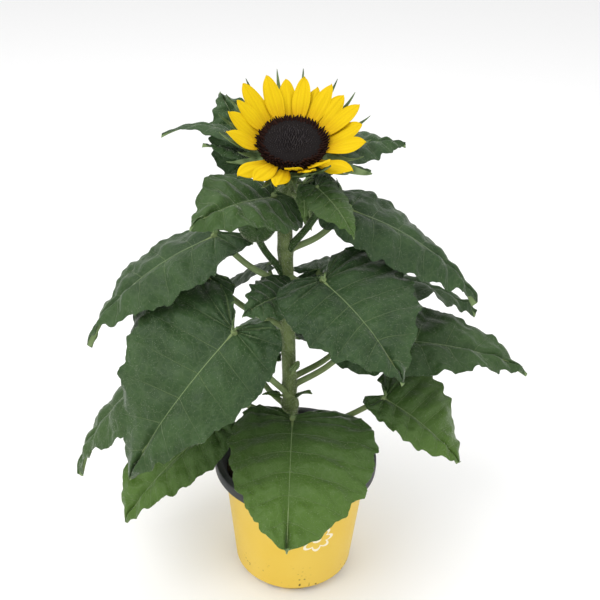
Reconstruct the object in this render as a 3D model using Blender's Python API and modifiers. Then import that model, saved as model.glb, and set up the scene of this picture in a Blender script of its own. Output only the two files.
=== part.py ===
"""A potted sunflower: nursery pot, soil, stem, leaves, buds and one flower head.

Metres, +Z up, origin at the middle of the pot's underside. The flower faces -Y.
"""

from math import cos, pi, radians, sin

import bmesh
import bpy
from mathutils import Matrix, Vector

MM = 0.001
GAP = 0.3 * MM  # air left between pieces that touch
UP = Vector((0, 0, 1))

# Pot
POT_HEIGHT = 107 * MM
RIM_RADIUS = 65 * MM
LIP_HEIGHT = 9 * MM
LIP_WIDTH = 6 * MM
NECK_RADIUS = 57.5 * MM  # outside, just under the lip
BASE_RADIUS = 48.5 * MM  # outside, just above the foot's slope
FOOT_HEIGHT = 8 * MM
FOOT_SLOPE = 6.5 * MM
POT_WALL = 1.6 * MM
POT_FLOOR = 2 * MM
POT_SEGMENTS = 40
NOTCHES = 9
NOTCH_WIDTH = 12 * MM
NOTCH_HEIGHT = 4 * MM

# Soil
SOIL_DROP = 12 * MM  # from the rim down to the soil
SOIL_TOP = POT_HEIGHT - SOIL_DROP
SOIL_CLEARANCE = 0.45 * MM  # to the pot's wall and to the stem
SOIL_CROWN = 1 * MM
ROOT_DEPTH = 18 * MM

# Stem: how far it leans from the pot's axis (right, back) at each height above the soil
STEM_RADIUS = 5.2 * MM
LAID_OUT_FOR = 5.2 * MM  # the stem radius that suits the leaves' and buds' places below
SLANT = 1.5  # how much further out than the stem's side a slanting blade moves to stay clear of it
STEM_SIDES = 10
STEM_ROUTE = [(-3, 0, 0), (-5.6, -3, 65), (-9, -4.5, 145), (-12, -6, 223)]
STEM_STRAIGHT = 6 * MM  # at the top, in line with the flower head

# Flower head
HEAD_CENTRE = Vector((-7.5, -30, 277.5)) * MM + UP * SOIL_TOP
HEAD_TILT = 28  # degrees from upright, towards the front
DISC_RADIUS = 21.5 * MM
DISC_RISE = 3 * MM
DISC_DEPTH = 5 * MM
CALYX_DEPTH = 16 * MM
CALYX_OVERHANG = 2 * MM  # of its rim past the disc
BRACTS = 18
BRACT_TURN = -7  # degrees that the ring of bracts is turned
BRACT_LENGTH = 43 * MM  # at the back; those at the front are under half as long
BRACT_SHORTENING = 0.28
BRACT_WIDTH = 6.5 * MM
BRACT_SPREAD = 14  # degrees that a bract lies lower than the petals above it
BRACT_TIP_LIFT = 40  # degrees that its thin tip turns up
BRACT_ROOT = 3 * MM  # from the calyx's rim in to where a bract starts
BRACT_DROP = 2.6 * MM  # from the calyx's top down to there
PETAL_THICKNESS = 0.7 * MM
PETAL_NECK = 0.42  # a petal's width at its base, as a share of its full width
PETAL_WIDEST = 0.55  # where along its length it is widest
PETAL_FOLD = 0.12  # how far its edges rise, as a share of half its width
ROW_STEP = 2.2 * MM  # between the lower and the upper row of petals

# Leaves
LEAF_THICKNESS = 0.9 * MM
PETIOLE_RADIUS = 2.1 * MM
PETIOLE_BOW = 5 * MM
MIDRIB_RADIUS = 0.6 * MM
SMALL_LEAF = 30 * MM  # a leaf narrower than this gets fewer faces
# Half a leaf's outline from its notch round to its tip: shares of the length and of half the width
LEAF_OUTLINE = [(0, 0), (-0.12, 0.2), (-0.17, 0.5), (-0.1, 0.78), (0.06, 0.95), (0.22, 1), (0.4, 0.93),
                (0.58, 0.74), (0.76, 0.44), (0.9, 0.18), (1, 0)]

FAN_SHARE = 0.3  # of that outline: the side veins that end there all start at the joint

# Each leaf: height on the stem above the soil, petiole's run, blade's run (right, back, up), then
# the blade's width and arch, all in mm, its roll and the fall of its two halves in degrees, how
# much wider one half is than the other, as a share, and how full its outer half is, where it is
LEAVES = {
    "leaf_low_front": (57, (2, -19, 4), (-1, -94, -38), 108, 10, 0, 8, -0.16, 0.4),
    "leaf_low_left": (35, (-62, -8, 8), (-64, -40, -58), 70, 8, -12, 10, 0.28, 0.3),
    "leaf_low_right": (35, (72, -4, 37), (57, -24, -38), 62, 7, 22, 10, -0.36, 0.3),
    "leaf_mid_left_front": (73, (-38, -52, 82), (-68, -45, -85), 98, 10, -32, 10, 0.2, 0.1),
    "leaf_far_left": (43, (-95, 7, 53), (-78, -5, -105), 80, 12, -8, 15, 0),
    "leaf_mid_right": (79, (53, 3, 43), (128, 0, -21), 74, 9, 18, 12, -0.18),
    "leaf_mid_right_back": (148, (23, 26, 16), (123, 10, -30), 62, 10, 0, 10, 0),
    "leaf_mid_right_front": (173, (26, -31, 13), (53, -50, -45), 98, 8, 14, 8, -0.15),
    "leaf_mid_centre": (161, (5, -20, 9), (-33, -29, -2), 42, 4, -24, 8, 0),
    "leaf_curled_left": (131, (-60, 1, 39), (-52, -31, -40), 56, 6, -20, 14, 0.1, 0.4),
    "leaf_small_back_left": (155, (-15, 16, 18), (-38, 20, -33), 35, 4, 0, 10, 0),
    "leaf_high_left": (167, (-51, -8, 40), (-90, -15, -76), 62, 12, -14, 18, 0),
    "leaf_high_right": (193, (45, 5, 31), (94, 0, -66), 60, 12, 20, 18, 0),
    "leaf_top_left": (225, (-7, -18, 16), (-49, -46, -2), 64, 5, -20, 8, 0),
    "leaf_small_right": (238, (20, -28, 14), (24, -21, -25), 27, 4, 15, 12, 0),
    "leaf_upright_left": (223, (-27, 42, 22), (-22, 16, 46), 46, 4, -30, 5, 0),
    "leaf_upper_left": (233, (-18, 22, 24), (-68, 0, 12), 28, 12, 0, 10, 0),
    "leaf_upper_left_small": (243, (-25, 18, 11), (-34, 0, 10), 24, 3, 0, 10, 0),
    "leaf_upper_right": (236, (25, 22, 20), (56, 8, 10), 46, 6, 12, 10, 0),
    "leaf_upper_right_small": (247, (20, -13, 12), (32, -2, 2), 18, 3, 0, 8, 0),
    "leaf_back_high": (213, (6, 40, 16), (14, 68, -58), 56, 8, 0, 15, 0),
    "leaf_back": (95, (-8, 34, 12), (-16, 98, -52), 74, 10, 0, 12, 0),
    "leaf_back_left": (57, (-34, 30, 24), (-54, 56, -50), 64, 9, 0, 12, 0),
    "leaf_back_right": (85, (52, 36, 22), (76, 62, -30), 72, 9, 0, 12, 0),
    "leaf_under_flower": (248, (9, -21, 1), (1, -3, -22), 9, 1, 0, 10, 0),
    "shoot_low_centre": (91, (3, -8, 8), (4, -8, 12), 8, 1, 0, 10, 0),
    "shoot_low_right": (73, (7, -8, 4), (10, -7, 5), 10, 1, 0, 10, 0),
    "shoot_low_left": (71, (-9, -3, 2), (-12, -2, 0), 8, 1, 0, 10, 0),
}

# Each petal, from the right round the back: its bearing, length, width and cup
PETALS = [
    (13, 25, 13, 33), (28, 29, 13, 36), (47, 28, 13, 34), (60, 29, 11, 33), (71, 26, 11, 31),
    (82, 29, 12, 34), (97, 29, 13, 34), (112, 31, 13, 37), (131, 33, 14, 38), (147, 25, 11, 42),
    (162, 26, 13, 45), (186, 23, 14, 43), (223, 22, 13, 15), (239, 21, 12, 20), (258, 18, 12, 24),
    (273, 21, 12, 60), (289, 22, 12, 56), (305, 24, 12, 57), (323, 26, 12, 26), (351, 26, 13, 30),
]

# Each bud: the height above the soil where its stalk leaves the stem, and its head's run from
# there (right, back, up), both in mm
BUDS = {"bud_left": (177, (-20, -11, 31)), "bud_right": (195, (24, -15, 38))}
BUD_RADIUS = 10.5 * MM
BUD_HEIGHT = 19 * MM
BUD_STALK_RADIUS = 2.2 * MM
# A bud's profile as shares of its radius and its height, from the tip down
BUD_PROFILE = [(0, 1), (0.45, 0.93), (0.85, 0.68), (1, 0.4), (0.8, 0.13), (0.3, 0)]

COLOURS = {
    "pot": (0.75, 0.53, 0.10),
    "soil": (0.03, 0.02, 0.014),
    "stem": (0.30, 0.38, 0.16),
    "leaf": (0.05, 0.12, 0.035),
    "petal": (0.90, 0.55, 0.01),
    "disc": (0.03, 0.015, 0.012),
    "calyx": (0.12, 0.24, 0.06),
}
ROUGHNESS = {"pot": 0.4, "soil": 0.95, "stem": 0.7, "leaf": 0.55, "petal": 0.6, "disc": 0.9, "calyx": 0.7}


def clear_scene():
    for thing in list(bpy.data.objects):
        bpy.data.objects.remove(thing)


def new_collection(name):
    collection = bpy.data.collections.new(name)
    bpy.context.scene.collection.children.link(collection)
    return collection


def paint(thing, kind):
    """Gives a piece its own material in the colour of its kind."""
    material = bpy.data.materials.new(thing.name)
    material.use_nodes = True
    shader = material.node_tree.nodes["Principled BSDF"]
    shader.inputs["Base Color"].default_value = (*COLOURS[kind], 1)
    shader.inputs["Roughness"].default_value = ROUGHNESS[kind]
    thing.data.materials.clear()
    thing.data.materials.append(material)
    thing.data.shade_smooth()
    thing.data.set_sharp_from_angle(angle=radians(40))


def place(mesh, name, collection):
    thing = bpy.data.objects.new(name, mesh)
    collection.objects.link(thing)
    return thing


def smooth_route(corners, steps):
    """Points of a Catmull-Rom curve through the corners, with so many steps between two of them."""
    ends = [corners[0] * 2 - corners[1], *corners, corners[-1] * 2 - corners[-2]]
    points = []
    for a, b, c, d in zip(ends, ends[1:], ends[2:], ends[3:]):
        for step in range(steps):
            t = step / steps
            points.append(((b * 2) + (c - a) * t + (a * 2 - b * 5 + c * 4 - d) * t * t
                           + (b * 3 - a - c * 3 + d) * t ** 3) / 2)
    return points + [corners[-1].copy()]


def evaluated_mesh(thing):
    graph = bpy.context.evaluated_depsgraph_get()
    return bpy.data.meshes.new_from_object(thing.evaluated_get(graph), depsgraph=graph)


def tube(name, points, radii, collection, sides=8):
    """A closed round tube along the points, as a mesh."""
    curve = bpy.data.curves.new(name, "CURVE")
    curve.dimensions = "3D"
    curve.bevel_depth = 1
    curve.bevel_resolution = sides // 2 - 2
    curve.use_fill_caps = True
    spline = curve.splines.new("POLY")
    spline.points.add(len(points) - 1)
    for point, place_at, radius in zip(spline.points, points, radii):
        point.co = (*place_at, 1)
        point.radius = radius
    guide = place(curve, name + "_route", collection)
    mesh = evaluated_mesh(guide)
    bpy.data.objects.remove(guide)
    weld(mesh)
    return place(mesh, name, collection)


def weld(mesh):
    shape = bmesh.new()
    shape.from_mesh(mesh)
    bmesh.ops.remove_doubles(shape, verts=shape.verts, dist=0.01 * MM)
    bmesh.ops.recalc_face_normals(shape, faces=shape.faces)
    shape.to_mesh(mesh)
    shape.free()


def turned(name, profile, collection, segments, matrix=None):
    """A closed turned shape: its profile of (radius, height) runs down the outer side."""
    mesh = bpy.data.meshes.new(name)
    mesh.from_pydata([(radius, 0, height) for radius, height in profile],
                     [(i, i + 1) for i in range(len(profile) - 1)], [])
    thing = place(mesh, name, collection)
    screw = thing.modifiers.new("turn", "SCREW")
    screw.steps = screw.render_steps = segments
    screw.use_merge_vertices = True
    screw.merge_threshold = 0.01 * MM
    thing.data = evaluated_mesh(thing)
    thing.modifiers.clear()
    if matrix:
        thing.data.transform(matrix)
    weld(thing.data)
    return thing


def thickened(name, surface, thickness, collection):
    """A thin solid around an open surface, given as a bmesh."""
    bmesh.ops.remove_doubles(surface, verts=surface.verts, dist=0.01 * MM)
    bmesh.ops.recalc_face_normals(surface, faces=surface.faces)
    mesh = bpy.data.meshes.new(name)
    surface.to_mesh(mesh)
    surface.free()
    thing = place(mesh, name, collection)
    wall = thing.modifiers.new("thickness", "SOLIDIFY")
    wall.thickness = thickness
    wall.offset = 0
    thing.data = evaluated_mesh(thing)
    thing.modifiers.clear()
    return thing


def combine(thing, other, operation, solver="EXACT"):
    """Joins the other mesh to a piece, or cuts it away, and removes the other."""
    boolean = thing.modifiers.new(operation.lower(), "BOOLEAN")
    boolean.operation = operation
    boolean.solver = solver
    boolean.object = other
    bpy.context.view_layer.update()
    thing.data = evaluated_mesh(thing)
    thing.modifiers.clear()
    bpy.data.objects.remove(other)
    weld(thing.data)


def grid_surface(rows):
    """An open bmesh surface through rows of points."""
    surface = bmesh.new()
    rings = [[surface.verts.new(point) for point in row] for row in rows]
    for first, second in zip(rings, rings[1:]):
        for a, b, c, d in zip(first, first[1:], second[1:], second):
            surface.faces.new((a, b, c, d))
    return surface


# Pot and soil


def inside_radius(height):
    """The pot's inner radius at a height above its sloped foot."""
    share = (height - FOOT_HEIGHT) / (POT_HEIGHT - LIP_HEIGHT - FOOT_HEIGHT)
    return BASE_RADIUS + (NECK_RADIUS - BASE_RADIUS) * share - POT_WALL


def make_pot(collection, cutters):
    lip_bottom = POT_HEIGHT - LIP_HEIGHT
    mouth = RIM_RADIUS - LIP_WIDTH
    edge = 0.7 * MM
    profile = [
        (0, POT_FLOOR),
        (BASE_RADIUS - FOOT_SLOPE - POT_WALL, POT_FLOOR),
        (BASE_RADIUS - POT_WALL, FOOT_HEIGHT),
        (inside_radius(lip_bottom), lip_bottom),
        (mouth, POT_HEIGHT - edge),
        (mouth + edge, POT_HEIGHT),
        (RIM_RADIUS - edge, POT_HEIGHT),
        (RIM_RADIUS, POT_HEIGHT - edge),
        (RIM_RADIUS, lip_bottom + edge),
        (RIM_RADIUS - edge, lip_bottom),
        (NECK_RADIUS, lip_bottom),
        (BASE_RADIUS, FOOT_HEIGHT),
        (BASE_RADIUS - FOOT_SLOPE, 0),
        (0, 0),
    ]
    pot = turned("pot", profile, collection, POT_SEGMENTS)
    for index in range(NOTCHES):
        combine(pot, notch_cutter(index, cutters), "DIFFERENCE")
    paint(pot, "pot")


def notch_cutter(index, cutters):
    """A block that cuts one drainage notch through the foot; the notches skip the front."""
    turn = Matrix.Rotation(radians(-90) + (index + 0.5) * 2 * pi / NOTCHES, 4, "Z")
    shape = bmesh.new()
    bmesh.ops.create_cube(shape, size=1)
    reach = 2 * FOOT_SLOPE
    bmesh.ops.scale(shape, verts=shape.verts, vec=(reach, NOTCH_WIDTH, 2 * NOTCH_HEIGHT))
    bmesh.ops.translate(shape, verts=shape.verts, vec=(BASE_RADIUS, 0, 0))
    bmesh.ops.transform(shape, verts=shape.verts, matrix=turn)
    mesh = bpy.data.meshes.new("notch")
    shape.to_mesh(mesh)
    shape.free()
    return place(mesh, "notch", cutters)


def make_soil(collection, cutters):
    crown = SOIL_TOP + SOIL_CROWN
    profile = [
        (0, crown),
        (inside_radius(SOIL_TOP) * 0.6, crown),
        (inside_radius(SOIL_TOP) - SOIL_CLEARANCE, SOIL_TOP),
        (inside_radius(FOOT_HEIGHT) - SOIL_CLEARANCE, FOOT_HEIGHT),
        (BASE_RADIUS - FOOT_SLOPE - POT_WALL - SOIL_CLEARANCE, POT_FLOOR + GAP),
        (0, POT_FLOOR + GAP),
    ]
    soil = turned("soil", profile, collection, POT_SEGMENTS)
    root = stem_foot()
    width = STEM_RADIUS + SOIL_CLEARANCE
    above, below = crown + 3 * MM, root.z - GAP
    socket = [(0, above), (width, above), (width, below), (0, below)]
    hole = turned("stem_socket", socket, cutters, STEM_SIDES * 2, Matrix.Translation((root.x, root.y, 0)))
    combine(soil, hole, "DIFFERENCE")
    paint(soil, "soil")


# Stem


def stem_foot():
    """The stem's lower end, in the soil."""
    return Vector(STEM_ROUTE[0]) * MM + UP * (SOIL_TOP - ROOT_DEPTH)


def head_matrix():
    return Matrix.Translation(HEAD_CENTRE) @ Matrix.Rotation(radians(HEAD_TILT), 4, "X")


def below_head(distance):
    """A point of the head's axis, so far below the calyx."""
    return head_matrix() @ Vector((0, 0, -DISC_DEPTH - CALYX_DEPTH - distance))


def stem_points():
    lean = [Vector(corner) * MM + UP * SOIL_TOP for corner in STEM_ROUTE]
    return [stem_foot(), *smooth_route([*lean, below_head(STEM_STRAIGHT)], 3), below_head(GAP)]


def stem_at(height):
    """The stem's axis at a height above the soil."""
    level = SOIL_TOP + height
    points = stem_points()
    for low, high in zip(points, points[1:]):
        if low.z <= level <= high.z:
            return low.lerp(high, (level - low.z) / (high.z - low.z))
    raise ValueError(f"the stem doesn't reach {level:.3f} m")


def make_stem(collection):
    points = stem_points()
    stem = tube("main_stem", points, [STEM_RADIUS] * len(points), collection, STEM_SIDES)
    paint(stem, "stem")


# Leaves


def clear_of_stem(run):
    """A run out from the stem's axis, longer where the stem is thicker than it was laid out for."""
    level = Vector((run.x, run.y, 0)).normalized()
    return run + level * (STEM_RADIUS - LAID_OUT_FOR) * SLANT


class Leaf:
    """The shape of one leaf, from its row of the table."""

    def __init__(self, height, petiole, blade, width, arch, roll, fall, skew, full=0):
        self.root = stem_at(height * MM)
        self.joint = self.root + clear_of_stem(Vector(petiole) * MM)
        self.run = Vector(blade) * MM
        self.half_width = width * MM / 2
        self.skew = skew
        self.full = full
        self.arch = arch * MM
        self.fall = radians(fall)
        self.forward = self.run.normalized()
        level = self.forward.cross(UP).normalized()
        self.side = Matrix.Rotation(radians(roll), 3, self.forward) @ level
        self.up = self.side.cross(self.forward)
        self.thick = max(0.4, min(1, width / 50))

    def edge(self, along, across):
        """A point of the outline, moved out in the blade's outer half if the leaf is full there."""
        outer = max(0, min(1, (along - 0.2) / 0.3))
        return along, across ** (1 - self.full * outer)

    def point(self, along, across):
        """A point of the blade: along is a share of its length, across of its half width."""
        wider = self.skew if across > 0 else -self.skew
        reach = across * self.half_width * (1 + wider)
        rise = 4 * along * (1 - max(along, 0)) * self.arch
        drop = abs(reach) * sin(self.fall)
        return (self.joint + self.forward * self.run.length * along
                + self.side * reach * cos(self.fall) + self.up * (rise - drop))

    def petiole(self):
        """The petiole's points: out of the stem, up to the joint and under the blade's midrib."""
        out = self.joint - self.root
        level = Vector((out.x, out.y, 0)).normalized()
        radius = PETIOLE_RADIUS * self.thick
        start = self.root + level * (STEM_RADIUS + GAP + radius * 1.2)
        bow = min(PETIOLE_BOW, out.length / 6)
        middle = start.lerp(self.joint, 0.5) - UP * bow
        route = smooth_route([start, middle, self.joint], 3)
        return route + [self.point(0.1, 0) - self.up * 0.3 * MM, self.point(0.22, 0) - self.up * 0.3 * MM]


def blade_rows(leaf):
    """Rows of points across the blade, each along one pair of side veins."""
    columns = (-1, 0, 1) if 2 * leaf.half_width < SMALL_LEAF else (-1, -0.5, 0, 0.5, 1)
    rows = []
    for index, corner in enumerate(LEAF_OUTLINE):
        edge_along, edge_across = leaf.edge(*corner)
        vein = max(0, (index / (len(LEAF_OUTLINE) - 1) - FAN_SHARE) / (1 - FAN_SHARE))
        row = []
        for across in columns:
            along = vein + (edge_along - vein) * abs(across)
            row.append(leaf.point(along, across * edge_across))
        rows.append(row)
    return rows


def make_leaf(name, plan, collection):
    leaf = Leaf(*plan)
    blade = thickened(name, grid_surface(blade_rows(leaf)), LEAF_THICKNESS, collection)
    route = leaf.petiole()
    radius = PETIOLE_RADIUS * leaf.thick
    radii = [radius] * (len(route) - 2) + [max(radius * share, MIDRIB_RADIUS) for share in (0.7, 0.4)]
    petiole = tube(name + "_petiole", route, radii, collection, 6)
    combine(blade, petiole, "UNION", "MANIFOLD")  # the fan of faces at the joint stops EXACT
    paint(blade, "leaf")


# Flower head


def make_disc(collection):
    rim = 0.5 * MM
    profile = [
        (0, DISC_RISE * 0.6),
        (DISC_RADIUS * 0.3, DISC_RISE * 0.9),
        (DISC_RADIUS * 0.65, DISC_RISE),
        (DISC_RADIUS * 0.9, DISC_RISE * 0.6),
        (DISC_RADIUS, -rim),
        (DISC_RADIUS - rim, -DISC_DEPTH + GAP),
        (0, -DISC_DEPTH + GAP),
    ]
    disc = turned("flower_disc", profile, collection, 32, head_matrix())
    paint(disc, "disc")


def make_calyx(collection):
    """The green cup under the disc, with its ring of pointed bracts."""
    rim = DISC_RADIUS + CALYX_OVERHANG
    profile = [
        (0, -DISC_DEPTH),
        (rim, -DISC_DEPTH),
        (rim, -DISC_DEPTH - 1.5 * MM),
        (rim * 0.86, -DISC_DEPTH - 0.35 * CALYX_DEPTH),
        (STEM_RADIUS * 1.6, -DISC_DEPTH - 0.75 * CALYX_DEPTH),
        (STEM_RADIUS, -DISC_DEPTH - CALYX_DEPTH),
        (0, -DISC_DEPTH - CALYX_DEPTH),
    ]
    calyx = turned("flower_calyx", profile, collection, BRACTS * 2, head_matrix())
    for index in range(BRACTS):
        combine(calyx, bract(index, rim, collection), "UNION")
    paint(calyx, "calyx")


def petal_pitch(cup, share):
    """How steeply a petal of this cup rises, in degrees, at a share of its length."""
    return cup * min(1, 0.5 + share * 1.6) * (1.12 - 0.35 * share)


def petal_cup(bearing):
    """The cup of the petals about a bearing, between the two nearest."""
    ring = sorted((plan[0], plan[3]) for plan in PETALS)
    ring = [(ring[-1][0] - 360, ring[-1][1]), *ring, (ring[0][0] + 360, ring[0][1])]
    for (low, low_cup), (high, high_cup) in zip(ring, ring[1:]):
        if low <= bearing < high:
            return low_cup + (high_cup - low_cup) * (bearing - low) / (high - low)
    return ring[0][1]


def bract(index, rim, collection):
    bearing = 360 * (index + 0.5) / BRACTS + BRACT_TURN
    turn = head_matrix() @ Matrix.Rotation(radians(bearing), 4, "Z")
    out = rim - BRACT_ROOT
    height = -DISC_DEPTH - BRACT_DROP
    cup = petal_cup(bearing % 360)
    length = BRACT_LENGTH * (1 - BRACT_SHORTENING * (1 - sin(radians(bearing))))
    steps = 5
    rows = []
    for step in range(steps + 1):
        share = step / steps
        half = BRACT_WIDTH / 2 * (1 - share) ** 0.8 + 0.25 * MM
        rows.append([turn @ Vector((out, side * half, height)) for side in (-1, 0, 1)])
        pitch = radians(petal_pitch(cup, share) - BRACT_SPREAD + BRACT_TIP_LIFT * share ** 3)
        out += cos(pitch) * length / steps
        height += sin(pitch) * length / steps
    return thickened(f"bract_{index}", grid_surface(rows), PETAL_THICKNESS, collection)


def petal_rows(bearing, length, width, cup, lift):
    """Rows of points across a petal, from its base to its tip."""
    turn = head_matrix() @ Matrix.Rotation(radians(bearing), 4, "Z")
    out = DISC_RADIUS + 1 * MM
    height = -DISC_DEPTH + GAP + PETAL_THICKNESS + lift
    steps = 8
    rows = []
    for step in range(steps + 1):
        share = step / steps
        swell = sin(pi / 2 * min(1, share / PETAL_WIDEST))
        half = width / 2 * (PETAL_NECK + (1 - PETAL_NECK) * swell) * (1 - share ** 4) ** 0.75
        edge = height + half * PETAL_FOLD
        across = ((-half, edge), (0, height), (half, edge))
        rows.append([turn @ Vector((out, side, level)) for side, level in across])
        pitch = radians(petal_pitch(cup, share))
        out += cos(pitch) * length / steps
        height += sin(pitch) * length / steps
    return rows


def make_petal(index, plan, collection):
    bearing, length, width, cup = plan
    lift = ROW_STEP * (index % 2)
    rows = petal_rows(bearing, length * MM, width * MM, cup, lift)
    petal = thickened(f"petal_{index + 1:02d}", grid_surface(rows), PETAL_THICKNESS, collection)
    paint(petal, "petal")


# Buds


def make_bud(name, height, run, collection):
    """A closed bud on its own stalk, which leaves the stem beside a petiole."""
    root = stem_at(height * MM)
    base = root + clear_of_stem(Vector(run) * MM)
    level = Vector((run[0], run[1], 0)).normalized()
    start = root + level * (STEM_RADIUS + GAP + BUD_STALK_RADIUS * 1.3)
    middle = start.lerp(base, 0.55) + level * 2 * MM
    inside = base + UP * BUD_HEIGHT * 0.3
    route = smooth_route([start, middle, base, inside], 3)
    stalk = tube(name + "_stalk", route, [BUD_STALK_RADIUS] * len(route), collection)
    profile = [(radius * BUD_RADIUS, share * BUD_HEIGHT) for radius, share in BUD_PROFILE]
    profile.append((0, 0))
    bud = turned(name, profile, collection, 16, Matrix.Translation(base))
    combine(bud, stalk, "UNION")
    paint(bud, "calyx")


def main():
    clear_scene()
    collection = new_collection("potted_sunflower")
    cutters = new_collection("cutters")
    make_pot(collection, cutters)
    make_soil(collection, cutters)
    make_stem(collection)
    for name, plan in LEAVES.items():
        make_leaf(name, plan, collection)
    make_disc(collection)
    make_calyx(collection)
    for index, plan in enumerate(PETALS):
        make_petal(index, plan, collection)
    for name, (height, run) in BUDS.items():
        make_bud(name, height, run, collection)


main()
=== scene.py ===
"""The finish of a potted sunflower: toothed leaves, grooved petals, a floret disc, hairs, soil and pot.

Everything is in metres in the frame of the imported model: +Z up, the flower faces -Y.
"""

from math import cos, pi, radians, sin

import bmesh
import bpy
import numpy as np
from mathutils import Matrix, Vector


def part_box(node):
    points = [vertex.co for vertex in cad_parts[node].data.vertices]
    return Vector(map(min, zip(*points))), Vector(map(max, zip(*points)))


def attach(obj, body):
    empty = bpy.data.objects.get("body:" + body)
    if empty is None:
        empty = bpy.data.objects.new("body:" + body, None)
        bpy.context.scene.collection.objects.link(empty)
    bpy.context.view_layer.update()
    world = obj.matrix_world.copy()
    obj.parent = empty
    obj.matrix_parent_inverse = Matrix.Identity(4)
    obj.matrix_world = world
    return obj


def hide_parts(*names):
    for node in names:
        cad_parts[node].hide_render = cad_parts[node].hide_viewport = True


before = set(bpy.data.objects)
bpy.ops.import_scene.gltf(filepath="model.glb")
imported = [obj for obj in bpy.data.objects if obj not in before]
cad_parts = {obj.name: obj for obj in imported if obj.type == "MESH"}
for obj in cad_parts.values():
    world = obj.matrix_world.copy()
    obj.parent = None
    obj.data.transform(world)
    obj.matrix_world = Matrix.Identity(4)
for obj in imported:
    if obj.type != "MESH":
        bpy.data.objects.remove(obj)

bl_info = {
    "name": "Potted sunflower",
    "version": (1, 0, 0),
    "blender": (4, 5, 0),
    "location": "3D View > Sidebar > Sunflower",
    "description": "Makes the leaves, flower head, buds, soil and pot of a potted sunflower",
    "category": "Add Mesh",
}

MM = 0.001
UP = Vector((0, 0, 1))
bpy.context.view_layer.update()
GOLDEN_ANGLE = pi * (3 - 5 ** 0.5)
AXES = np.eye(3)

# The design, as the model has it. Distances in the tables are in mm.
POT_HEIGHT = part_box("pot")[1][2]
RIM_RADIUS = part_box("pot")[1][0]
LIP_HEIGHT = 9 * MM
LIP_WIDTH = 6 * MM
NECK_RADIUS = 57.5 * MM
BASE_RADIUS = 48.5 * MM
FOOT_HEIGHT = 8 * MM
FOOT_SLOPE = 6.5 * MM
POT_WALL = 1.6 * MM
NOTCHES = 9
NOTCH_WIDTH = 12 * MM
NOTCH_HEIGHT = 4 * MM
PRINT_HEIGHT = 62 * MM
PRINT_TURN = radians(20)
SOIL_CROWN = 1 * MM
SOIL_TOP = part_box("soil")[1][2] - SOIL_CROWN
STEM_RADIUS = 5.2 * MM
STEM_ROUTE = [(-3, 0, 0), (-5.6, -3, 65), (-9, -4.5, 145), (-12, -6, 223)]
STEM_STRAIGHT = 6 * MM
STEM_SWELLS = [(62, 1.35), (35, 1.15), (79, 1.12), (148, 1.1), (167, 1.12), (193, 1.1), (225, 1.1)]
SWELL_REACH = 4.5 * MM
HEAD_CENTRE = Vector((-7.5, -30, 277.5)) * MM + UP * SOIL_TOP
HEAD_TILT = 28
DISC_RADIUS = 21.5 * MM
DISC_RISE = 3 * MM
DISC_DEPTH = 5 * MM
CALYX_DEPTH = 16 * MM
CALYX_OVERHANG = 2 * MM
BRACT_ROOT = 3 * MM
BRACT_DROP = 2.6 * MM
BRACTS = 18
BRACT_TURN = -7
BRACT_LENGTH = 43 * MM
BRACT_SHORTENING = 0.28
BRACT_WIDTH = 6.5 * MM
WIDE_BRACTS = [(286, 62, 1.15), (305, 62, 1.3), (337, 18, 1.35)]  # bearing, cup and share of the length
FRINGE_FROM = 0.62  # of the florets, counted outwards
FLORET_HEIGHT = 1.6 * MM
PETIOLE_RADIUS = 2.1 * MM
PETIOLE_BOW = 5 * MM

# Half a leaf's outline from its notch round to its tip: shares of the length and of half the width
LEAF_OUTLINE = [(0, 0), (-0.12, 0.2), (-0.17, 0.5), (-0.1, 0.78), (0.06, 0.95), (0.22, 1), (0.4, 0.93),
                (0.58, 0.74), (0.76, 0.44), (0.9, 0.18), (1, 0)]
BASAL_SHARE = 0.42  # of the outline, whose side veins all start at the joint
SIDE_VEINS = 10

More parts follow.
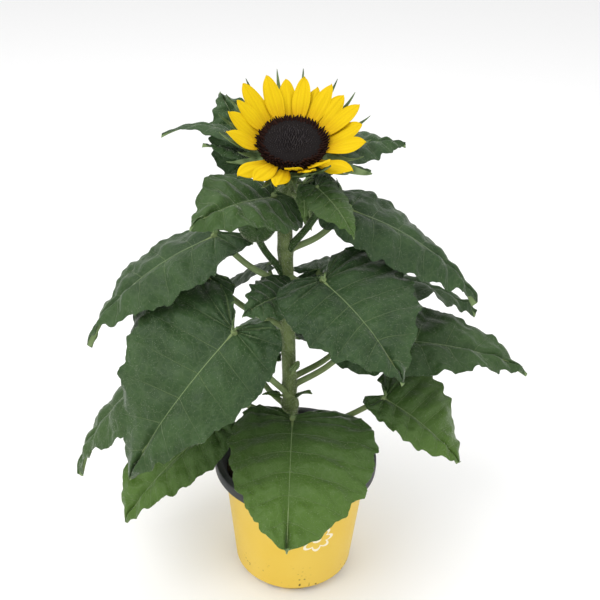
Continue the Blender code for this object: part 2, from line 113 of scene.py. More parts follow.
# Each leaf: height on the stem, petiole's run, blade's run (right, back, up), width and arch,
# roll and fall of its halves in degrees, how much wider one half is, and how full its outer half is
LEAVES = {
    "leaf_low_front": (57, (2, -19, 4), (-1, -94, -38), 108, 10, 0, 8, -0.16, 0.4),
    "leaf_low_left": (35, (-62, -8, 8), (-64, -40, -58), 70, 8, -12, 10, 0.28, 0.3),
    "leaf_low_right": (35, (72, -4, 37), (57, -24, -38), 62, 7, 22, 10, -0.36, 0.3),
    "leaf_mid_left_front": (73, (-38, -52, 82), (-68, -45, -85), 98, 10, -32, 10, 0.2, 0.1),
    "leaf_far_left": (43, (-95, 7, 53), (-78, -5, -105), 80, 12, -8, 15, 0),
    "leaf_mid_right": (79, (53, 3, 43), (128, 0, -21), 74, 9, 18, 12, -0.18),
    "leaf_mid_right_back": (148, (23, 26, 16), (123, 10, -30), 62, 10, 0, 10, 0),
    "leaf_mid_right_front": (173, (26, -31, 13), (53, -50, -45), 98, 8, 14, 8, -0.15),
    "leaf_mid_centre": (161, (5, -20, 9), (-33, -29, -2), 42, 4, -24, 8, 0),
    "leaf_curled_left": (131, (-60, 1, 39), (-52, -31, -40), 56, 6, -20, 14, 0.1, 0.4),
    "leaf_small_back_left": (155, (-15, 16, 18), (-38, 20, -33), 35, 4, 0, 10, 0),
    "leaf_high_left": (167, (-51, -8, 40), (-90, -15, -76), 62, 12, -14, 18, 0),
    "leaf_high_right": (193, (45, 5, 31), (94, 0, -66), 60, 12, 20, 18, 0),
    "leaf_top_left": (225, (-7, -18, 16), (-49, -46, -2), 64, 5, -20, 8, 0),
    "leaf_small_right": (238, (20, -28, 14), (24, -21, -25), 27, 4, 15, 12, 0),
    "leaf_upright_left": (223, (-27, 42, 22), (-22, 16, 46), 46, 4, -30, 5, 0),
    "leaf_upper_left": (233, (-18, 22, 24), (-68, 0, 12), 28, 12, 0, 10, 0),
    "leaf_upper_left_small": (243, (-25, 18, 11), (-34, 0, 10), 24, 3, 0, 10, 0),
    "leaf_upper_right": (236, (25, 22, 20), (56, 8, 10), 46, 6, 12, 10, 0),
    "leaf_upper_right_small": (247, (20, -13, 12), (32, -2, 2), 18, 3, 0, 8, 0),
    "leaf_back_high": (213, (6, 40, 16), (14, 68, -58), 56, 8, 0, 15, 0),
    "leaf_back": (95, (-8, 34, 12), (-16, 98, -52), 74, 10, 0, 12, 0),
    "leaf_back_left": (57, (-34, 30, 24), (-54, 56, -50), 64, 9, 0, 12, 0),
    "leaf_back_right": (85, (52, 36, 22), (76, 62, -30), 72, 9, 0, 12, 0),
    "leaf_under_flower": (248, (9, -21, 1), (1, -3, -22), 9, 1, 0, 10, 0),
    "shoot_low_centre": (91, (3, -8, 8), (4, -8, 12), 8, 1, 0, 10, 0),
    "shoot_low_right": (73, (7, -8, 4), (10, -7, 5), 10, 1, 0, 10, 0),
    "shoot_low_left": (71, (-9, -3, 2), (-12, -2, 0), 8, 1, 0, 10, 0),
}

# Each petal, from the right round the back: its bearing, length, width and cup
PETALS = [
    (13, 25, 13, 33), (28, 29, 13, 36), (47, 28, 13, 34), (60, 29, 11, 33), (71, 26, 11, 31),
    (82, 29, 12, 34), (97, 29, 13, 34), (112, 31, 13, 37), (131, 33, 14, 38), (147, 25, 11, 42),
    (162, 26, 13, 45), (186, 23, 14, 43), (223, 22, 13, 15), (239, 21, 12, 20), (258, 18, 12, 24),
    (273, 21, 12, 60), (289, 22, 12, 56), (305, 24, 12, 57), (323, 26, 12, 26), (351, 26, 13, 30),
]
ROW_STEP = 2.2 * MM
PETAL_NECK = 0.42
PETAL_WIDEST = 0.55
PETAL_TUCK = 2.5 * MM  # how far its base reaches in under the florets

# Each bud: where its stalk leaves the stem, its head's run from there (right, back, up)
BUDS = {"bud_left": (177, (-20, -11, 31)), "bud_right": (195, (24, -15, 38))}
BUD_RADIUS = 10.5 * MM
BUD_HEIGHT = 19 * MM
BUD_STALK_RADIUS = 2.2 * MM

# The stage: the sky's strength, and each soft light with its place, size and watts
DAYLIGHT = 0.93
LIGHTS = [("key", (-0.9, -0.9, 1.9), 1.4, 22), ("fill", (1.1, -1.3, 1.4), 2.6, 6),
          ("top", (0, 0.6, 2.2), 2.0, 7)]
FLOOR_RADIUS = 6
FLOOR_DEPTH = 0.03

# Tones that several finishes share
# The dark brown of the pot's specks of dirt and of its darker foot
SPECKS_AND_FOOT_BROWN = (0.05, 0.03, 0.015)
HAIR_TIP = (0.75, 0.78, 0.62)

# Painted light: how much lighter each leaf's colour is painted, as if light shone through it, beyond the
# usual share
PAINTED_GLOW = {
    "leaf_low_front": 0.72, "leaf_low_left": 0.75, "leaf_low_right": 0.7, "leaf_far_left": 0.25,
    "leaf_mid_left_front": 0.12, "leaf_small_right": 0.4, "leaf_top_left": 0.25, "leaf_high_left": 0.12,
    "leaf_mid_right": 0.14, "leaf_under_flower": 0.6, "shoot_low_centre": 0.8, "shoot_low_right": 0.8,
    "shoot_low_left": 0.8,
}
USUAL_PAINTED_GLOW = 0.06
RIBS_PER_METRE = 30  # of a stalk's pattern along its length
HAIRY_FROM = 15 * MM  # leaves wider than this grow hairs


# ---------------------------------------------------------------- nodes


def add_node(tree, kind, values=None, **settings):
    """A node with its settings made, and its inputs filled in or linked."""
    node = tree.nodes.new(kind)
    for name, value in settings.items():
        setattr(node, name, value)
    for key, value in (values or {}).items():
        if isinstance(value, bpy.types.NodeSocket):
            tree.links.new(value, node.inputs[key])
        else:
            node.inputs[key].default_value = value
    return node


def maths(tree, operation, *values, clamp=False):
    node = add_node(tree, "ShaderNodeMath", dict(enumerate(values)), operation=operation)
    node.use_clamp = clamp
    return node.outputs[0]


def mix_colour(tree, amount, first, second):
    """A mix of two colours, each a colour of three values or a socket."""
    ends = [end if isinstance(end, bpy.types.NodeSocket) else (*end, 1) for end in (first, second)]
    node = add_node(tree, "ShaderNodeMix", {"Factor": amount, 6: ends[0], 7: ends[1]}, data_type="RGBA")
    return node.outputs[2]


def scaled(tree, value, by):
    """The product of two values."""
    return maths(tree, "MULTIPLY", value, by)


def step_between(tree, value, low, high):
    """0 up to low, 1 from high, and smooth between them."""
    node = add_node(tree, "ShaderNodeMapRange",
                    {"Value": value, "From Min": low, "From Max": high}, interpolation_type="SMOOTHSTEP")
    return node.outputs["Result"]


def noise(tree, vector, scale, detail=3, roughness=0.5):
    values = {"Vector": vector, "Scale": scale, "Detail": detail, "Roughness": roughness}
    return add_node(tree, "ShaderNodeTexNoise", values).outputs["Fac"]


def new_group(name, kind, inputs, outputs):
    """A node group with its sockets: inputs are (name, type, default), outputs (name, type)."""
    tree = bpy.data.node_groups.new(name, kind)
    for socket, sort, default in inputs:
        made = tree.interface.new_socket(socket, in_out="INPUT", socket_type="NodeSocket" + sort)
        if default is not None:
            made.default_value = default
    for socket, sort in outputs:
        tree.interface.new_socket(socket, in_out="OUTPUT", socket_type="NodeSocket" + sort)
    return tree, tree.nodes.new("NodeGroupInput").outputs, tree.nodes.new("NodeGroupOutput").inputs


def group_node(tree, group, values=None):
    return add_node(tree, "ShaderNodeGroup", values, node_tree=bpy.data.node_groups[group])


def new_material(name, **plain):
    """A material with constants set on its shader; returns its tree and the shader."""
    material = bpy.data.materials.new(name)
    material.use_nodes = True
    tree = material.node_tree
    shader = tree.nodes["Principled BSDF"]
    for key, value in plain.items():
        shader.inputs[key.replace("_", " ")].default_value = value
    return material, tree, shader


def wire(shader, **sockets):
    """Links values to a shader's inputs by their names."""
    for name, value in sockets.items():
        shader.id_data.links.new(value, shader.inputs[name.replace("_", " ")])


def object_place(tree):
    return tree.nodes.new("ShaderNodeTexCoord").outputs["Object"]


def uv_map(tree, name):
    return add_node(tree, "ShaderNodeUVMap", uv_map=name).outputs["UV"]


def attribute(tree, name):
    return add_node(tree, "ShaderNodeAttribute", attribute_name=name).outputs["Fac"]


def bump(tree, height, depth, strength=1.0, normal=None):
    values = {"Height": height, "Distance": depth, "Strength": strength}
    if normal is not None:
        values["Normal"] = normal
    return add_node(tree, "ShaderNodeBump", values).outputs["Normal"]


def build_mottle():
    """Soft blotches and fine grain, as living skin and soil have."""
    tree, given, result = new_group(
        "mottle", "ShaderNodeTree",
        [("Place", "Vector", None), ("Blotch Scale", "Float", 60.0),
         ("Grain Scale", "Float", 900.0)],
        [("Blotch", "Float"), ("Grain", "Float")])
    blotch = noise(tree, given["Place"], given["Blotch Scale"], 2)
    grain = noise(tree, given["Place"], given["Grain Scale"], 2, 0.6)
    tree.links.new(step_between(tree, blotch, 0.3, 0.7), result["Blotch"])
    tree.links.new(step_between(tree, grain, 0.3, 0.7), result["Grain"])


def build_vein_net():
    """Side veins at the whole numbers of a leaf's vein map, its midrib, and the fine net between them."""
    tree, given, result = new_group(
        "vein_net", "ShaderNodeTree",
        [("Vein Map", "Vector", None), ("Flat Map", "Vector", None),
         ("Spacing", "Float", 0.01), ("Half Width", "Float", 0.04),
         ("Vein Width", "Float", 0.0006), ("Net Scale", "Float", 220.0)],
        [("Vein", "Float"), ("Net", "Float"), ("Ridge", "Float")])
    split = add_node(tree, "ShaderNodeSeparateXYZ", {0: given["Vein Map"]})
    rank, across = split.outputs[0], maths(tree, "ABSOLUTE", split.outputs[1])
    phase = maths(tree, "FRACT", maths(tree, "ADD", rank, 0.5))
    off = maths(tree, "ABSOLUTE", maths(tree, "SUBTRACT", phase, 0.5))
    side_gap = scaled(tree, off, given["Spacing"])
    middle_gap = scaled(tree, across, given["Half Width"])
    thin = maths(tree, "SUBTRACT", 1.15, across)
    side_width = scaled(tree, given["Vein Width"], thin)
    side = maths(tree, "SUBTRACT", 1.0, maths(tree, "DIVIDE", side_gap, side_width), clamp=True)
    rib_taper = maths(tree, "SUBTRACT", 1.25, maths(tree, "DIVIDE", rank, SIDE_VEINS))
    rib_width = scaled(tree, scaled(tree, given["Vein Width"], 1.9), rib_taper)
    rib = maths(tree, "SUBTRACT", 1.0, maths(tree, "DIVIDE", middle_gap, rib_width), clamp=True)
    vein = maths(tree, "MAXIMUM", side, rib)
    cells = add_node(tree, "ShaderNodeTexVoronoi",
                     {"Vector": given["Flat Map"], "Scale": given["Net Scale"]},
                     feature="DISTANCE_TO_EDGE")
    net = maths(tree, "SUBTRACT", 1.0, step_between(tree, cells.outputs["Distance"], 0.0, 0.16))
    pale = maths(tree, "MAXIMUM", scaled(tree, step_between(tree, side, 0.0, 0.8), 0.30),
                 scaled(tree, step_between(tree, rib, 0.0, 0.7), 0.7))
    tree.links.new(pale, result["Vein"])
    tree.links.new(net, result["Net"])
    tree.links.new(vein, result["Ridge"])


def build_stripes():
    """Soft lines along a piece, from the across value of its map."""
    tree, given, result = new_group(
        "stripes", "ShaderNodeTree",
        [("Map", "Vector", None), ("Count", "Float", 6.0), ("Waver", "Float", 0.4)],
        [("Line", "Float"), ("Streak", "Float")])
    split = add_node(tree, "ShaderNodeSeparateXYZ", {0: given["Map"]})
    stretched = add_node(tree, "ShaderNodeCombineXYZ", {
        0: scaled(tree, split.outputs[0], 1.2),
        1: scaled(tree, split.outputs[1], given["Count"])})
    wander = noise(tree, stretched.outputs[0], 1.0, 2)
    phase = maths(tree, "ADD", scaled(tree, split.outputs[1], given["Count"]),
                  scaled(tree, wander, given["Waver"]))
    wave = maths(tree, "ABSOLUTE", maths(tree, "SUBTRACT", maths(tree, "FRACT", phase), 0.5))
    tree.links.new(scaled(tree, wave, 2.0), result["Line"])
    streak = noise(tree, stretched.outputs[0], 3.0, 3, 0.6)
    tree.links.new(step_between(tree, streak, 0.3, 0.7), result["Streak"])


def build_flower_print():
    """A plain eight-petalled flower outline around a small round middle, on a flat map in metres."""
    tree, given, result = new_group(
        "flower_print", "ShaderNodeTree",
        [("Map", "Vector", None), ("Centre X", "Float", 0.0),
         ("Centre Y", "Float", 0.0), ("Radius", "Float", 0.012)],
        [("Ink", "Float")])
    split = add_node(tree, "ShaderNodeSeparateXYZ", {0: given["Map"]})
    x = maths(tree, "SUBTRACT", split.outputs[0], given["Centre X"])
    y = maths(tree, "SUBTRACT", split.outputs[1], given["Centre Y"])
    reach = maths(tree, "SQRT", maths(tree, "ADD", scaled(tree, x, x), scaled(tree, y, y)))
    turn = maths(tree, "ARCTAN2", y, x)
    lobes = maths(tree, "ABSOLUTE", maths(tree, "COSINE", scaled(tree, turn, 4.0)))
    edge = scaled(tree, given["Radius"],
                 maths(tree, "ADD", 0.68, scaled(tree, lobes, 0.32)))
    share = maths(tree, "DIVIDE", reach, edge)
    outer = maths(tree, "SUBTRACT", 1.0, step_between(tree, share, 0.97, 1.0))
    hollow = step_between(tree, share, 0.78, 0.81)
    middle = maths(tree, "SUBTRACT", 1.0,
                   step_between(tree, maths(tree, "DIVIDE", reach, given["Radius"]), 0.24, 0.27))
    ring = scaled(tree, outer, hollow)
    tree.links.new(maths(tree, "MAXIMUM", ring, middle), result["Ink"])


# ---------------------------------------------------------------- materials


def make_leaf_face(colours):
    """The dark green upper face: mottled, with pale veins, a fine sunken net, a waxy sheen, painted sheen
    specks, and painted light where light would shine through.
    """
    material, tree, shader = new_material(
        "leaf_face", Roughness=0.5, Specular_IOR_Level=0.25, Sheen_Weight=0.15, Sheen_Roughness=0.4)
    flat, veins = uv_map(tree, "flat"), uv_map(tree, "veins")
    net = group_node(tree, "vein_net", {
        "Vein Map": veins, "Flat Map": flat, "Spacing": attribute(tree, "spacing"),
        "Half Width": attribute(tree, "reach"), "Vein Width": 0.4 * MM})
    mottle = group_node(tree, "mottle", {"Place": flat, "Blotch Scale": 38.0, "Grain Scale": 900.0})
    dark = mix_colour(tree, mottle.outputs["Blotch"], colours.leaf_dark, colours.leaf_mid)
    # painted light: the face is painted towards leaf_light where light would shine through the leaf
    body = mix_colour(tree, attribute(tree, "glow"), dark, colours.leaf_light)
    netted = mix_colour(tree, scaled(tree, net.outputs["Net"], 0.05), body, colours.leaf_vein)
    veined = mix_colour(tree, net.outputs["Vein"], netted, colours.leaf_vein)
    # painted sheen: pale grey-green specks of leaf_sheen, standing in for the shine of the waxy, hairy
    # surface
    with_painted_sheen = mix_colour(tree, scaled(tree, mottle.outputs["Grain"], 0.10), veined,
                         colours.leaf_sheen)
    wire(shader, Base_Color=with_painted_sheen)
    rough = maths(tree, "ADD", 0.44, scaled(tree, mottle.outputs["Grain"], 0.16))
    wire(shader, Roughness=rough)
    sunk = maths(tree, "SUBTRACT", scaled(tree, mottle.outputs["Grain"], 0.25), net.outputs["Net"])
    folds = bump(tree, noise(tree, flat, 130.0, 3, 0.55), 2.0 * MM, 0.6)
    first = bump(tree, sunk, 0.16 * MM, 0.8, folds)
    wire(shader, Normal=bump(tree, net.outputs["Ridge"], 0.5 * MM, 0.7, first))
    return material


def make_leaf_underside(colours):
    """The paler, duller underside, where veins and net stand out."""
    material, tree, shader = new_material("leaf_underside", Roughness=0.75, Specular_IOR_Level=0.15)
    net = group_node(tree, "vein_net", {
        "Vein Map": uv_map(tree, "veins"), "Flat Map": uv_map(tree, "flat"),
        "Spacing": attribute(tree, "spacing"), "Half Width": attribute(tree, "reach"),
        "Vein Width": 1.0 * MM})
    netted = mix_colour(tree, scaled(tree, net.outputs["Net"], 0.4), colours.leaf_back,
                        colours.leaf_vein)
    veined = mix_colour(tree, net.outputs["Vein"], netted, colours.leaf_vein)
    wire(shader, Base_Color=veined)
    raised = maths(tree, "ADD", net.outputs["Ridge"], scaled(tree, net.outputs["Net"], 0.3))
    wire(shader, Normal=bump(tree, raised, 0.35 * MM, 0.8))
    return material


def make_green_skin(name, base, light, grain_depth=0.15):
    """Stem, petiole, calyx and bud skin: mottled, with fine ribs along its length."""
    material, tree, shader = new_material(name, Roughness=0.6, Specular_IOR_Level=0.2)
    place = object_place(tree)
    mottle = group_node(tree, "mottle", {"Place": place, "Blotch Scale": 130.0, "Grain Scale": 1500.0})
    ribs = group_node(tree, "stripes", {"Map": uv_map(tree, "length"), "Count": 9.0, "Waver": 0.8})
    colour = mix_colour(tree, mottle.outputs["Blotch"], base, light)
    ribbed = mix_colour(tree, scaled(tree, ribs.outputs["Line"], 0.35), colour, light)
    wire(shader, Base_Color=ribbed)
    height = maths(tree, "ADD", ribs.outputs["Line"], scaled(tree, mottle.outputs["Grain"], 0.5))
    wire(shader, Normal=bump(tree, height, grain_depth * MM, 0.6))
    return material


def make_petal_skin(colours):
    """Golden yellow, with painted shade towards the base where it meets the disc, streaked, and fine grooves
    along it.
    """
    material, tree, shader = new_material(
        "petal_skin", Roughness=0.6, Specular_IOR_Level=0.05)
    length = uv_map(tree, "length")
    split = add_node(tree, "ShaderNodeSeparateXYZ", {0: length})
    stripes = group_node(tree, "stripes", {"Map": length, "Count": 5.0, "Waver": 0.5})
    # painted shade: towards the disc the petal darkens to petal_base, broken by random streaks
    base = maths(tree, "SUBTRACT", 1.0, step_between(tree, split.outputs[0], 0.0, 0.55))
    painted_base_shade = scaled(tree, maths(tree, "ADD", 0.35, scaled(tree, stripes.outputs["Streak"], 0.65)),
                 base)
    body = mix_colour(tree, painted_base_shade, colours.petal, colours.petal_base)
    fine = scaled(tree, stripes.outputs["Line"], 0.22)
    lined = mix_colour(tree, fine, body, colours.petal_base)
    wire(shader, Base_Color=lined)
    height = maths(tree, "ADD", stripes.outputs["Line"], scaled(tree, stripes.outputs["Streak"], 0.5))
    wire(shader, Normal=bump(tree, height, 0.2 * MM, 0.5))
    return material


def make_floret_skin(name, low, high, reach):
    """Dark florets, lighter towards their tips, which stand up to reach above the disc."""
    material, tree, shader = new_material(name, Roughness=0.8, Specular_IOR_Level=0.08)
    tip = attribute(tree, "tip")
    mottle = group_node(tree, "mottle", {
        "Place": object_place(tree), "Blotch Scale": 420.0, "Grain Scale": 2500.0})
    tone = scaled(tree, tip, maths(tree, "ADD", 1 - reach, scaled(tree, mottle.outputs["Blotch"], reach)))
    wire(shader, Base_Color=mix_colour(tree, tone, low, high))
    return material


def make_hair(name, colour):
    """Near-white hairs."""
    material, tree, shader = new_material(name, Roughness=0.5)
    mottle = group_node(tree, "mottle", {"Place": object_place(tree), "Blotch Scale": 300.0})
    tone = mix_colour(tree, mottle.outputs["Blotch"], colour, HAIR_TIP)
    wire(shader, Base_Color=tone)
    return material


def make_soil_skin(name, dark, light, scale, depth):
    """Dark rough soil, mottled at a scale per metre, with grain of a depth."""
    material, tree, shader = new_material(name, Roughness=0.95, Specular_IOR_Level=0.15)
    mottle = group_node(tree, "mottle", {
        "Place": object_place(tree), "Blotch Scale": scale, "Grain Scale": scale * 8})
    tone = scaled(tree, mottle.outputs["Blotch"], mottle.outputs["Grain"])
    wire(shader, Base_Color=mix_colour(tree, tone, dark, light))
    wire(shader, Normal=bump(tree, mottle.outputs["Grain"], depth, 0.9))
    return material


def make_pot_print(settings):
    """The printed yellow outside, with a plain flower outline, scuffs, specks of dirt low down, and darker
    towards the bottom of the foot.
    """
    material, tree, shader = new_material(
        "pot_yellow_print", Roughness=0.42, Specular_IOR_Level=0.2)
    flat = uv_map(tree, "wrap")
    place = object_place(tree)
    ink = group_node(tree, "flower_print", {
        "Map": flat, "Centre X": PRINT_TURN * BASE_RADIUS, "Centre Y": PRINT_HEIGHT,
        "Radius": settings.print_radius})
    mottle = group_node(tree, "mottle", {"Place": place, "Blotch Scale": 22.0, "Grain Scale": 700.0})
    tone = mix_colour(tree, scaled(tree, mottle.outputs["Blotch"], 0.35), settings.yellow,
                      settings.yellow_worn)
    printed = mix_colour(tree, ink.outputs["Ink"], tone, settings.cream)
    height = add_node(tree, "ShaderNodeSeparateXYZ", {0: place}).outputs["Z"]
    low = maths(tree, "SUBTRACT", 1.0, step_between(tree, height, 0.0, 42 * MM))
    specks = add_node(tree, "ShaderNodeTexVoronoi", {"Vector": place, "Scale": 260.0})
    spots = maths(tree, "SUBTRACT", 1.0, step_between(tree, specks.outputs["Distance"], 0.14, 0.3))
    rare = step_between(tree, noise(tree, place, 60.0, 2), 0.5, 0.6)
    dirt = scaled(tree, scaled(tree, spots, rare), low)
    # darker, mottled, towards the bottom of the foot, in the same dark brown as the specks
    foot = scaled(tree, maths(tree, "SUBTRACT", 1.0, step_between(tree, height, 0.0, 9 * MM)),
                 scaled(tree, mottle.outputs["Blotch"], 0.75))
    specks_and_darker_foot = maths(tree, "MAXIMUM", dirt, foot)
    wire(shader, Base_Color=mix_colour(tree, specks_and_darker_foot, printed, SPECKS_AND_FOOT_BROWN))
    rough = maths(tree, "ADD", 0.33, scaled(tree, mottle.outputs["Grain"], 0.14))
    wire(shader, Roughness=maths(tree, "MAXIMUM", rough, specks_and_darker_foot))
    wire(shader, Normal=bump(tree, mottle.outputs["Blotch"], 0.12 * MM, 0.4))
    return material


def make_pot_plastic(settings):
    """The bare dark plastic of the lip and the inside."""
    material, tree, shader = new_material("pot_dark_plastic", Roughness=0.5, Specular_IOR_Level=0.25)
    place = object_place(tree)
    mottle = group_node(tree, "mottle", {"Place": place, "Blotch Scale": 45.0, "Grain Scale": 1400.0})
    dusty = mix_colour(tree, scaled(tree, mottle.outputs["Blotch"], 0.5), settings.slate,
                       settings.slate_dusty)
    wire(shader, Base_Color=dusty)
    rough = maths(tree, "ADD", 0.42, scaled(tree, mottle.outputs["Grain"], 0.2))
    wire(shader, Roughness=rough)
    wire(shader, Normal=bump(tree, mottle.outputs["Grain"], 0.05 * MM, 0.5))
    return material


# ---------------------------------------------------------------- meshes


def smooth_line(corners, count):
    """count points, evenly spread in the parameter, of a Catmull-Rom curve through the corners."""
    corners = np.array(corners, float)
    ends = np.vstack([2 * corners[0] - corners[1], corners, 2 * corners[-1] - corners[-2]])
    where = np.linspace(0, len(corners) - 1, count)
    first = np.minimum(where.astype(int), len(corners) - 2)
    t = (where - first)[:, None]
    a, b, c, d = (ends[first + k] for k in range(4))
    return (2 * b + (c - a) * t + (2 * a - 5 * b + 4 * c - d) * t ** 2 + (3 * b - a - 3 * c + d) * t ** 3) / 2


def unit(vectors):
    return vectors / np.maximum(np.linalg.norm(vectors, axis=-1, keepdims=True), 1e-12)


def sheet(name, points, thickness, maps, masks, materials):
    """A thin closed solid under a grid of points, with its maps and masks.

    Its underside has the second material.
    """
    rows, columns, _ = points.shape
    flat = points.reshape(-1, 3)
    _, first, same = np.unique(np.round(flat / 1e-6).astype(int), axis=0,
                               return_index=True, return_inverse=True)
    same = same.reshape(-1)
    ids = np.arange(rows * columns).reshape(rows, columns)
    quads = np.stack([ids[:-1, :-1], ids[:-1, 1:], ids[1:, 1:], ids[1:, :-1]], -1).reshape(-1, 4)
    merged = same[quads]
    spot = flat[first]
    lean = np.cross(spot[merged[:, 2]] - spot[merged[:, 0]], spot[merged[:, 3]] - spot[merged[:, 1]])
    normals = np.zeros_like(spot)
    for corner in range(4):
        np.add.at(normals, merged[:, corner], lean)
    normals = unit(normals)
    count = len(spot)
    edge = np.concatenate([ids[0, :-1], ids[:-1, -1], ids[-1, :0:-1], ids[:0:-1, 0]])
    ring = np.roll(edge, -1)
    faces, sources, kinds = [], [], []
    for face in quads:
        corners, kept = distinct(same[face], face)
        if len(corners) > 2:
            faces += [corners, [count + c for c in corners[::-1]]]
            sources += [kept, kept[::-1]]
            kinds += [0, 1]
    for a, b in zip(edge, ring):
        if same[a] != same[b]:
            faces.append([same[b], same[a], count + same[a], count + same[b]])
            sources.append([b, a, a, b])
            kinds.append(0)
    mesh = bpy.data.meshes.new(name)
    both_sides = np.vstack([spot, spot - normals * thickness])
    mesh.from_pydata(both_sides.tolist(), [], [list(map(int, face)) for face in faces])
    loops = np.concatenate([np.array(s, int) for s in sources])
    for label, values in maps.items():
        layer = mesh.uv_layers.new(name=label)
        layer.uv.foreach_set("vector", values.reshape(-1, 2)[loops].astype(np.float32).ravel())
    for label, values in masks.items():
        layer = mesh.attributes.new(label, "FLOAT", "POINT")
        once = np.broadcast_to(values, (rows, columns)).reshape(-1)[first]
        layer.data.foreach_set("value", np.tile(once, 2).astype(np.float32))
    for material in materials:
        mesh.materials.append(material)
    mesh.polygons.foreach_set("material_index", [min(k, len(materials) - 1) for k in kinds])
    return finish_mesh(mesh)


def ring_faces(rows, ring):
    """Quads between neighbouring rings of points, each ring closed on itself."""
    return [[i * ring + j, i * ring + (j + 1) % ring, (i + 1) * ring + (j + 1) % ring, (i + 1) * ring + j]
            for i in range(rows - 1) for j in range(ring)]


def running(steps):
    """The sum of the steps before each one."""
    return np.concatenate([[0], np.cumsum(steps[:-1])])


def length_map(share, t):
    """A map of a strip: how far along it and how far across, both 0 to 1."""
    return {"length": np.stack(np.broadcast_arrays(share[:, None], (t * 0.5 + 0.5)[None, :]), -1)}


def worked(mesh, step):
    """The mesh after a step on it."""
    shape = bmesh.new()
    shape.from_mesh(mesh)
    step(shape)
    shape.to_mesh(mesh)
    shape.free()
    return mesh


def shaped(name, build):
    """A mesh that a step makes from nothing."""
    return worked(bpy.data.meshes.new(name), build)


def distinct(merged, sources):
    """A face's corners with neighbours that coincide made one."""
    corners, kept = [], []
    for corner, source in zip(merged, sources):
        if not corners or corner != corners[-1]:
            corners.append(int(corner))
            kept.append(int(source))
    if len(corners) > 1 and corners[0] == corners[-1]:
        corners.pop()
        kept.pop()
    return corners, kept


def finish_mesh(mesh, angle=60):
    """Turns a mesh's faces outwards and shades them smooth up to an angle in degrees."""
    worked(mesh, lambda shape: bmesh.ops.recalc_face_normals(shape, faces=shape.faces))
    mesh.shade_smooth()
    mesh.set_sharp_from_angle(angle=radians(angle))
    return mesh


def merged(mesh, distance):
    """The mesh with the points closer than a distance made one."""
    return worked(mesh, lambda shape: bmesh.ops.remove_doubles(shape, verts=shape.verts, dist=distance))


def tube(name, points, radii, sides, material, ribs=0.0, rib_count=9):
    """A closed round tube along points, with a map of its length and its turn, and shallow ribs."""
    points = np.array(points, float)
    radii = np.broadcast_to(radii, len(points))
    ahead = unit(np.gradient(points, axis=0))
    across = unit(np.cross(ahead, AXES[np.argmin(np.abs(ahead[0]))]))
    for i in range(1, len(points)):
        across[i] = unit(across[i - 1] - ahead[i] * (across[i - 1] @ ahead[i]))
    upward = np.cross(ahead, across)
    turn = np.linspace(0, 2 * pi, sides + 1)
    swell = 1 + ribs * np.cos(turn * rib_count)
    reach = (radii[:, None] * swell)[..., None]
    round_it = across[:, None] * np.cos(turn)[:, None] + upward[:, None] * np.sin(turn)[:, None]
    wall = points[:, None] + reach * round_it
    verts = np.vstack([wall[:, :-1].reshape(-1, 3), points[:1], points[-1:]])
    run = np.concatenate([[0], np.cumsum(np.linalg.norm(np.diff(points, axis=0), axis=1))])
    faces = ring_faces(len(points), sides)
    maps = [spot for i in range(len(points) - 1) for j in range(sides)
            for spot in ((run[i], j), (run[i], j + 1), (run[i + 1], j + 1), (run[i + 1], j))]
    top = len(points) - 1
    for j in range(sides):
        k = (j + 1) % sides
        faces += [[k, j, len(verts) - 2], [top * sides + j, top * sides + k, len(verts) - 1]]
        maps += [(0, j + 1), (0, j), (0, j + 0.5), (run[-1], j), (run[-1], j + 1), (run[-1], j + 0.5)]
    mesh = bpy.data.meshes.new(name)
    mesh.from_pydata(verts.tolist(), [], faces)
    layer = mesh.uv_layers.new(name="length")
    layer.uv.foreach_set("vector", (np.array(maps) * [RIBS_PER_METRE, 1 / sides]).astype(np.float32).ravel())
    mesh.materials.append(material)
    return finish_mesh(mesh)


def place_mesh(mesh, name):
    thing = bpy.data.objects.new(name, mesh)
    bpy.context.scene.collection.objects.link(thing)
    return thing


def join_meshes(name, meshes):
    """One object of several meshes, which keep their maps and materials."""
    things = [place_mesh(mesh, name) for mesh in meshes]
    if len(things) == 1:
        return things[0]
    with bpy.context.temp_override(active_object=things[0], object=things[0], selected_objects=things,
                                   selected_editable_objects=things):
        bpy.ops.object.join()
    things[0].name = name
    return things[0]


def declare(piece, slot, *nodes):
    """Says what a finished piece rides on and what it stands for; its finish, slot, is not used."""
    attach(piece, "root")
    if nodes:
        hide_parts(*nodes)


# ---------------------------------------------------------------- repeated growth


def set_inputs(modifier, values):
    """Sets a Geometry Nodes modifier's inputs by their names."""
    for socket in modifier.node_group.interface.items_tree:
        if socket.item_type == "SOCKET" and socket.in_out == "INPUT" and socket.name in values:
            modifier[socket.identifier] = values[socket.name]


def grown(name, carrier, tree_name, values, matrix=None):
    """The plain mesh that a tree grows on a carrier's mesh, turned into place by a matrix."""
    host = bpy.data.objects.new(name, carrier.copy())
    bpy.context.scene.collection.objects.link(host)
    modifier = host.modifiers.new(tree_name, "NODES")
    modifier.node_group = bpy.data.node_groups[tree_name]
    set_inputs(modifier, values)
    bpy.context.view_layer.update()
    graph = bpy.context.evaluated_depsgraph_get()
    mesh = bpy.data.meshes.new_from_object(host.evaluated_get(graph), depsgraph=graph)
    bpy.data.objects.remove(host)
    mesh.name = name
    if matrix:
        mesh.transform(matrix)
    return place_mesh(mesh, name)


def random_number(tree, least, most, seed):
    return add_node(tree, "FunctionNodeRandomValue", {2: least, 3: most, "Seed": seed},
                    data_type="FLOAT").outputs[1]


def random_turn(tree, least, most, seed):
    return add_node(tree, "FunctionNodeRandomValue", {0: least, 1: most, "Seed": seed},
                    data_type="FLOAT_VECTOR").outputs[0]


def dress(tree, copies, skin, result):
    """Makes copies real, gives them their material and passes them out."""
    real = add_node(tree, "GeometryNodeRealizeInstances", {"Geometry": copies.outputs[0]})
    dressed = add_node(tree, "GeometryNodeSetMaterial", {"Geometry": real.outputs[0], "Material": skin})
    tree.links.new(dressed.outputs[0], result)


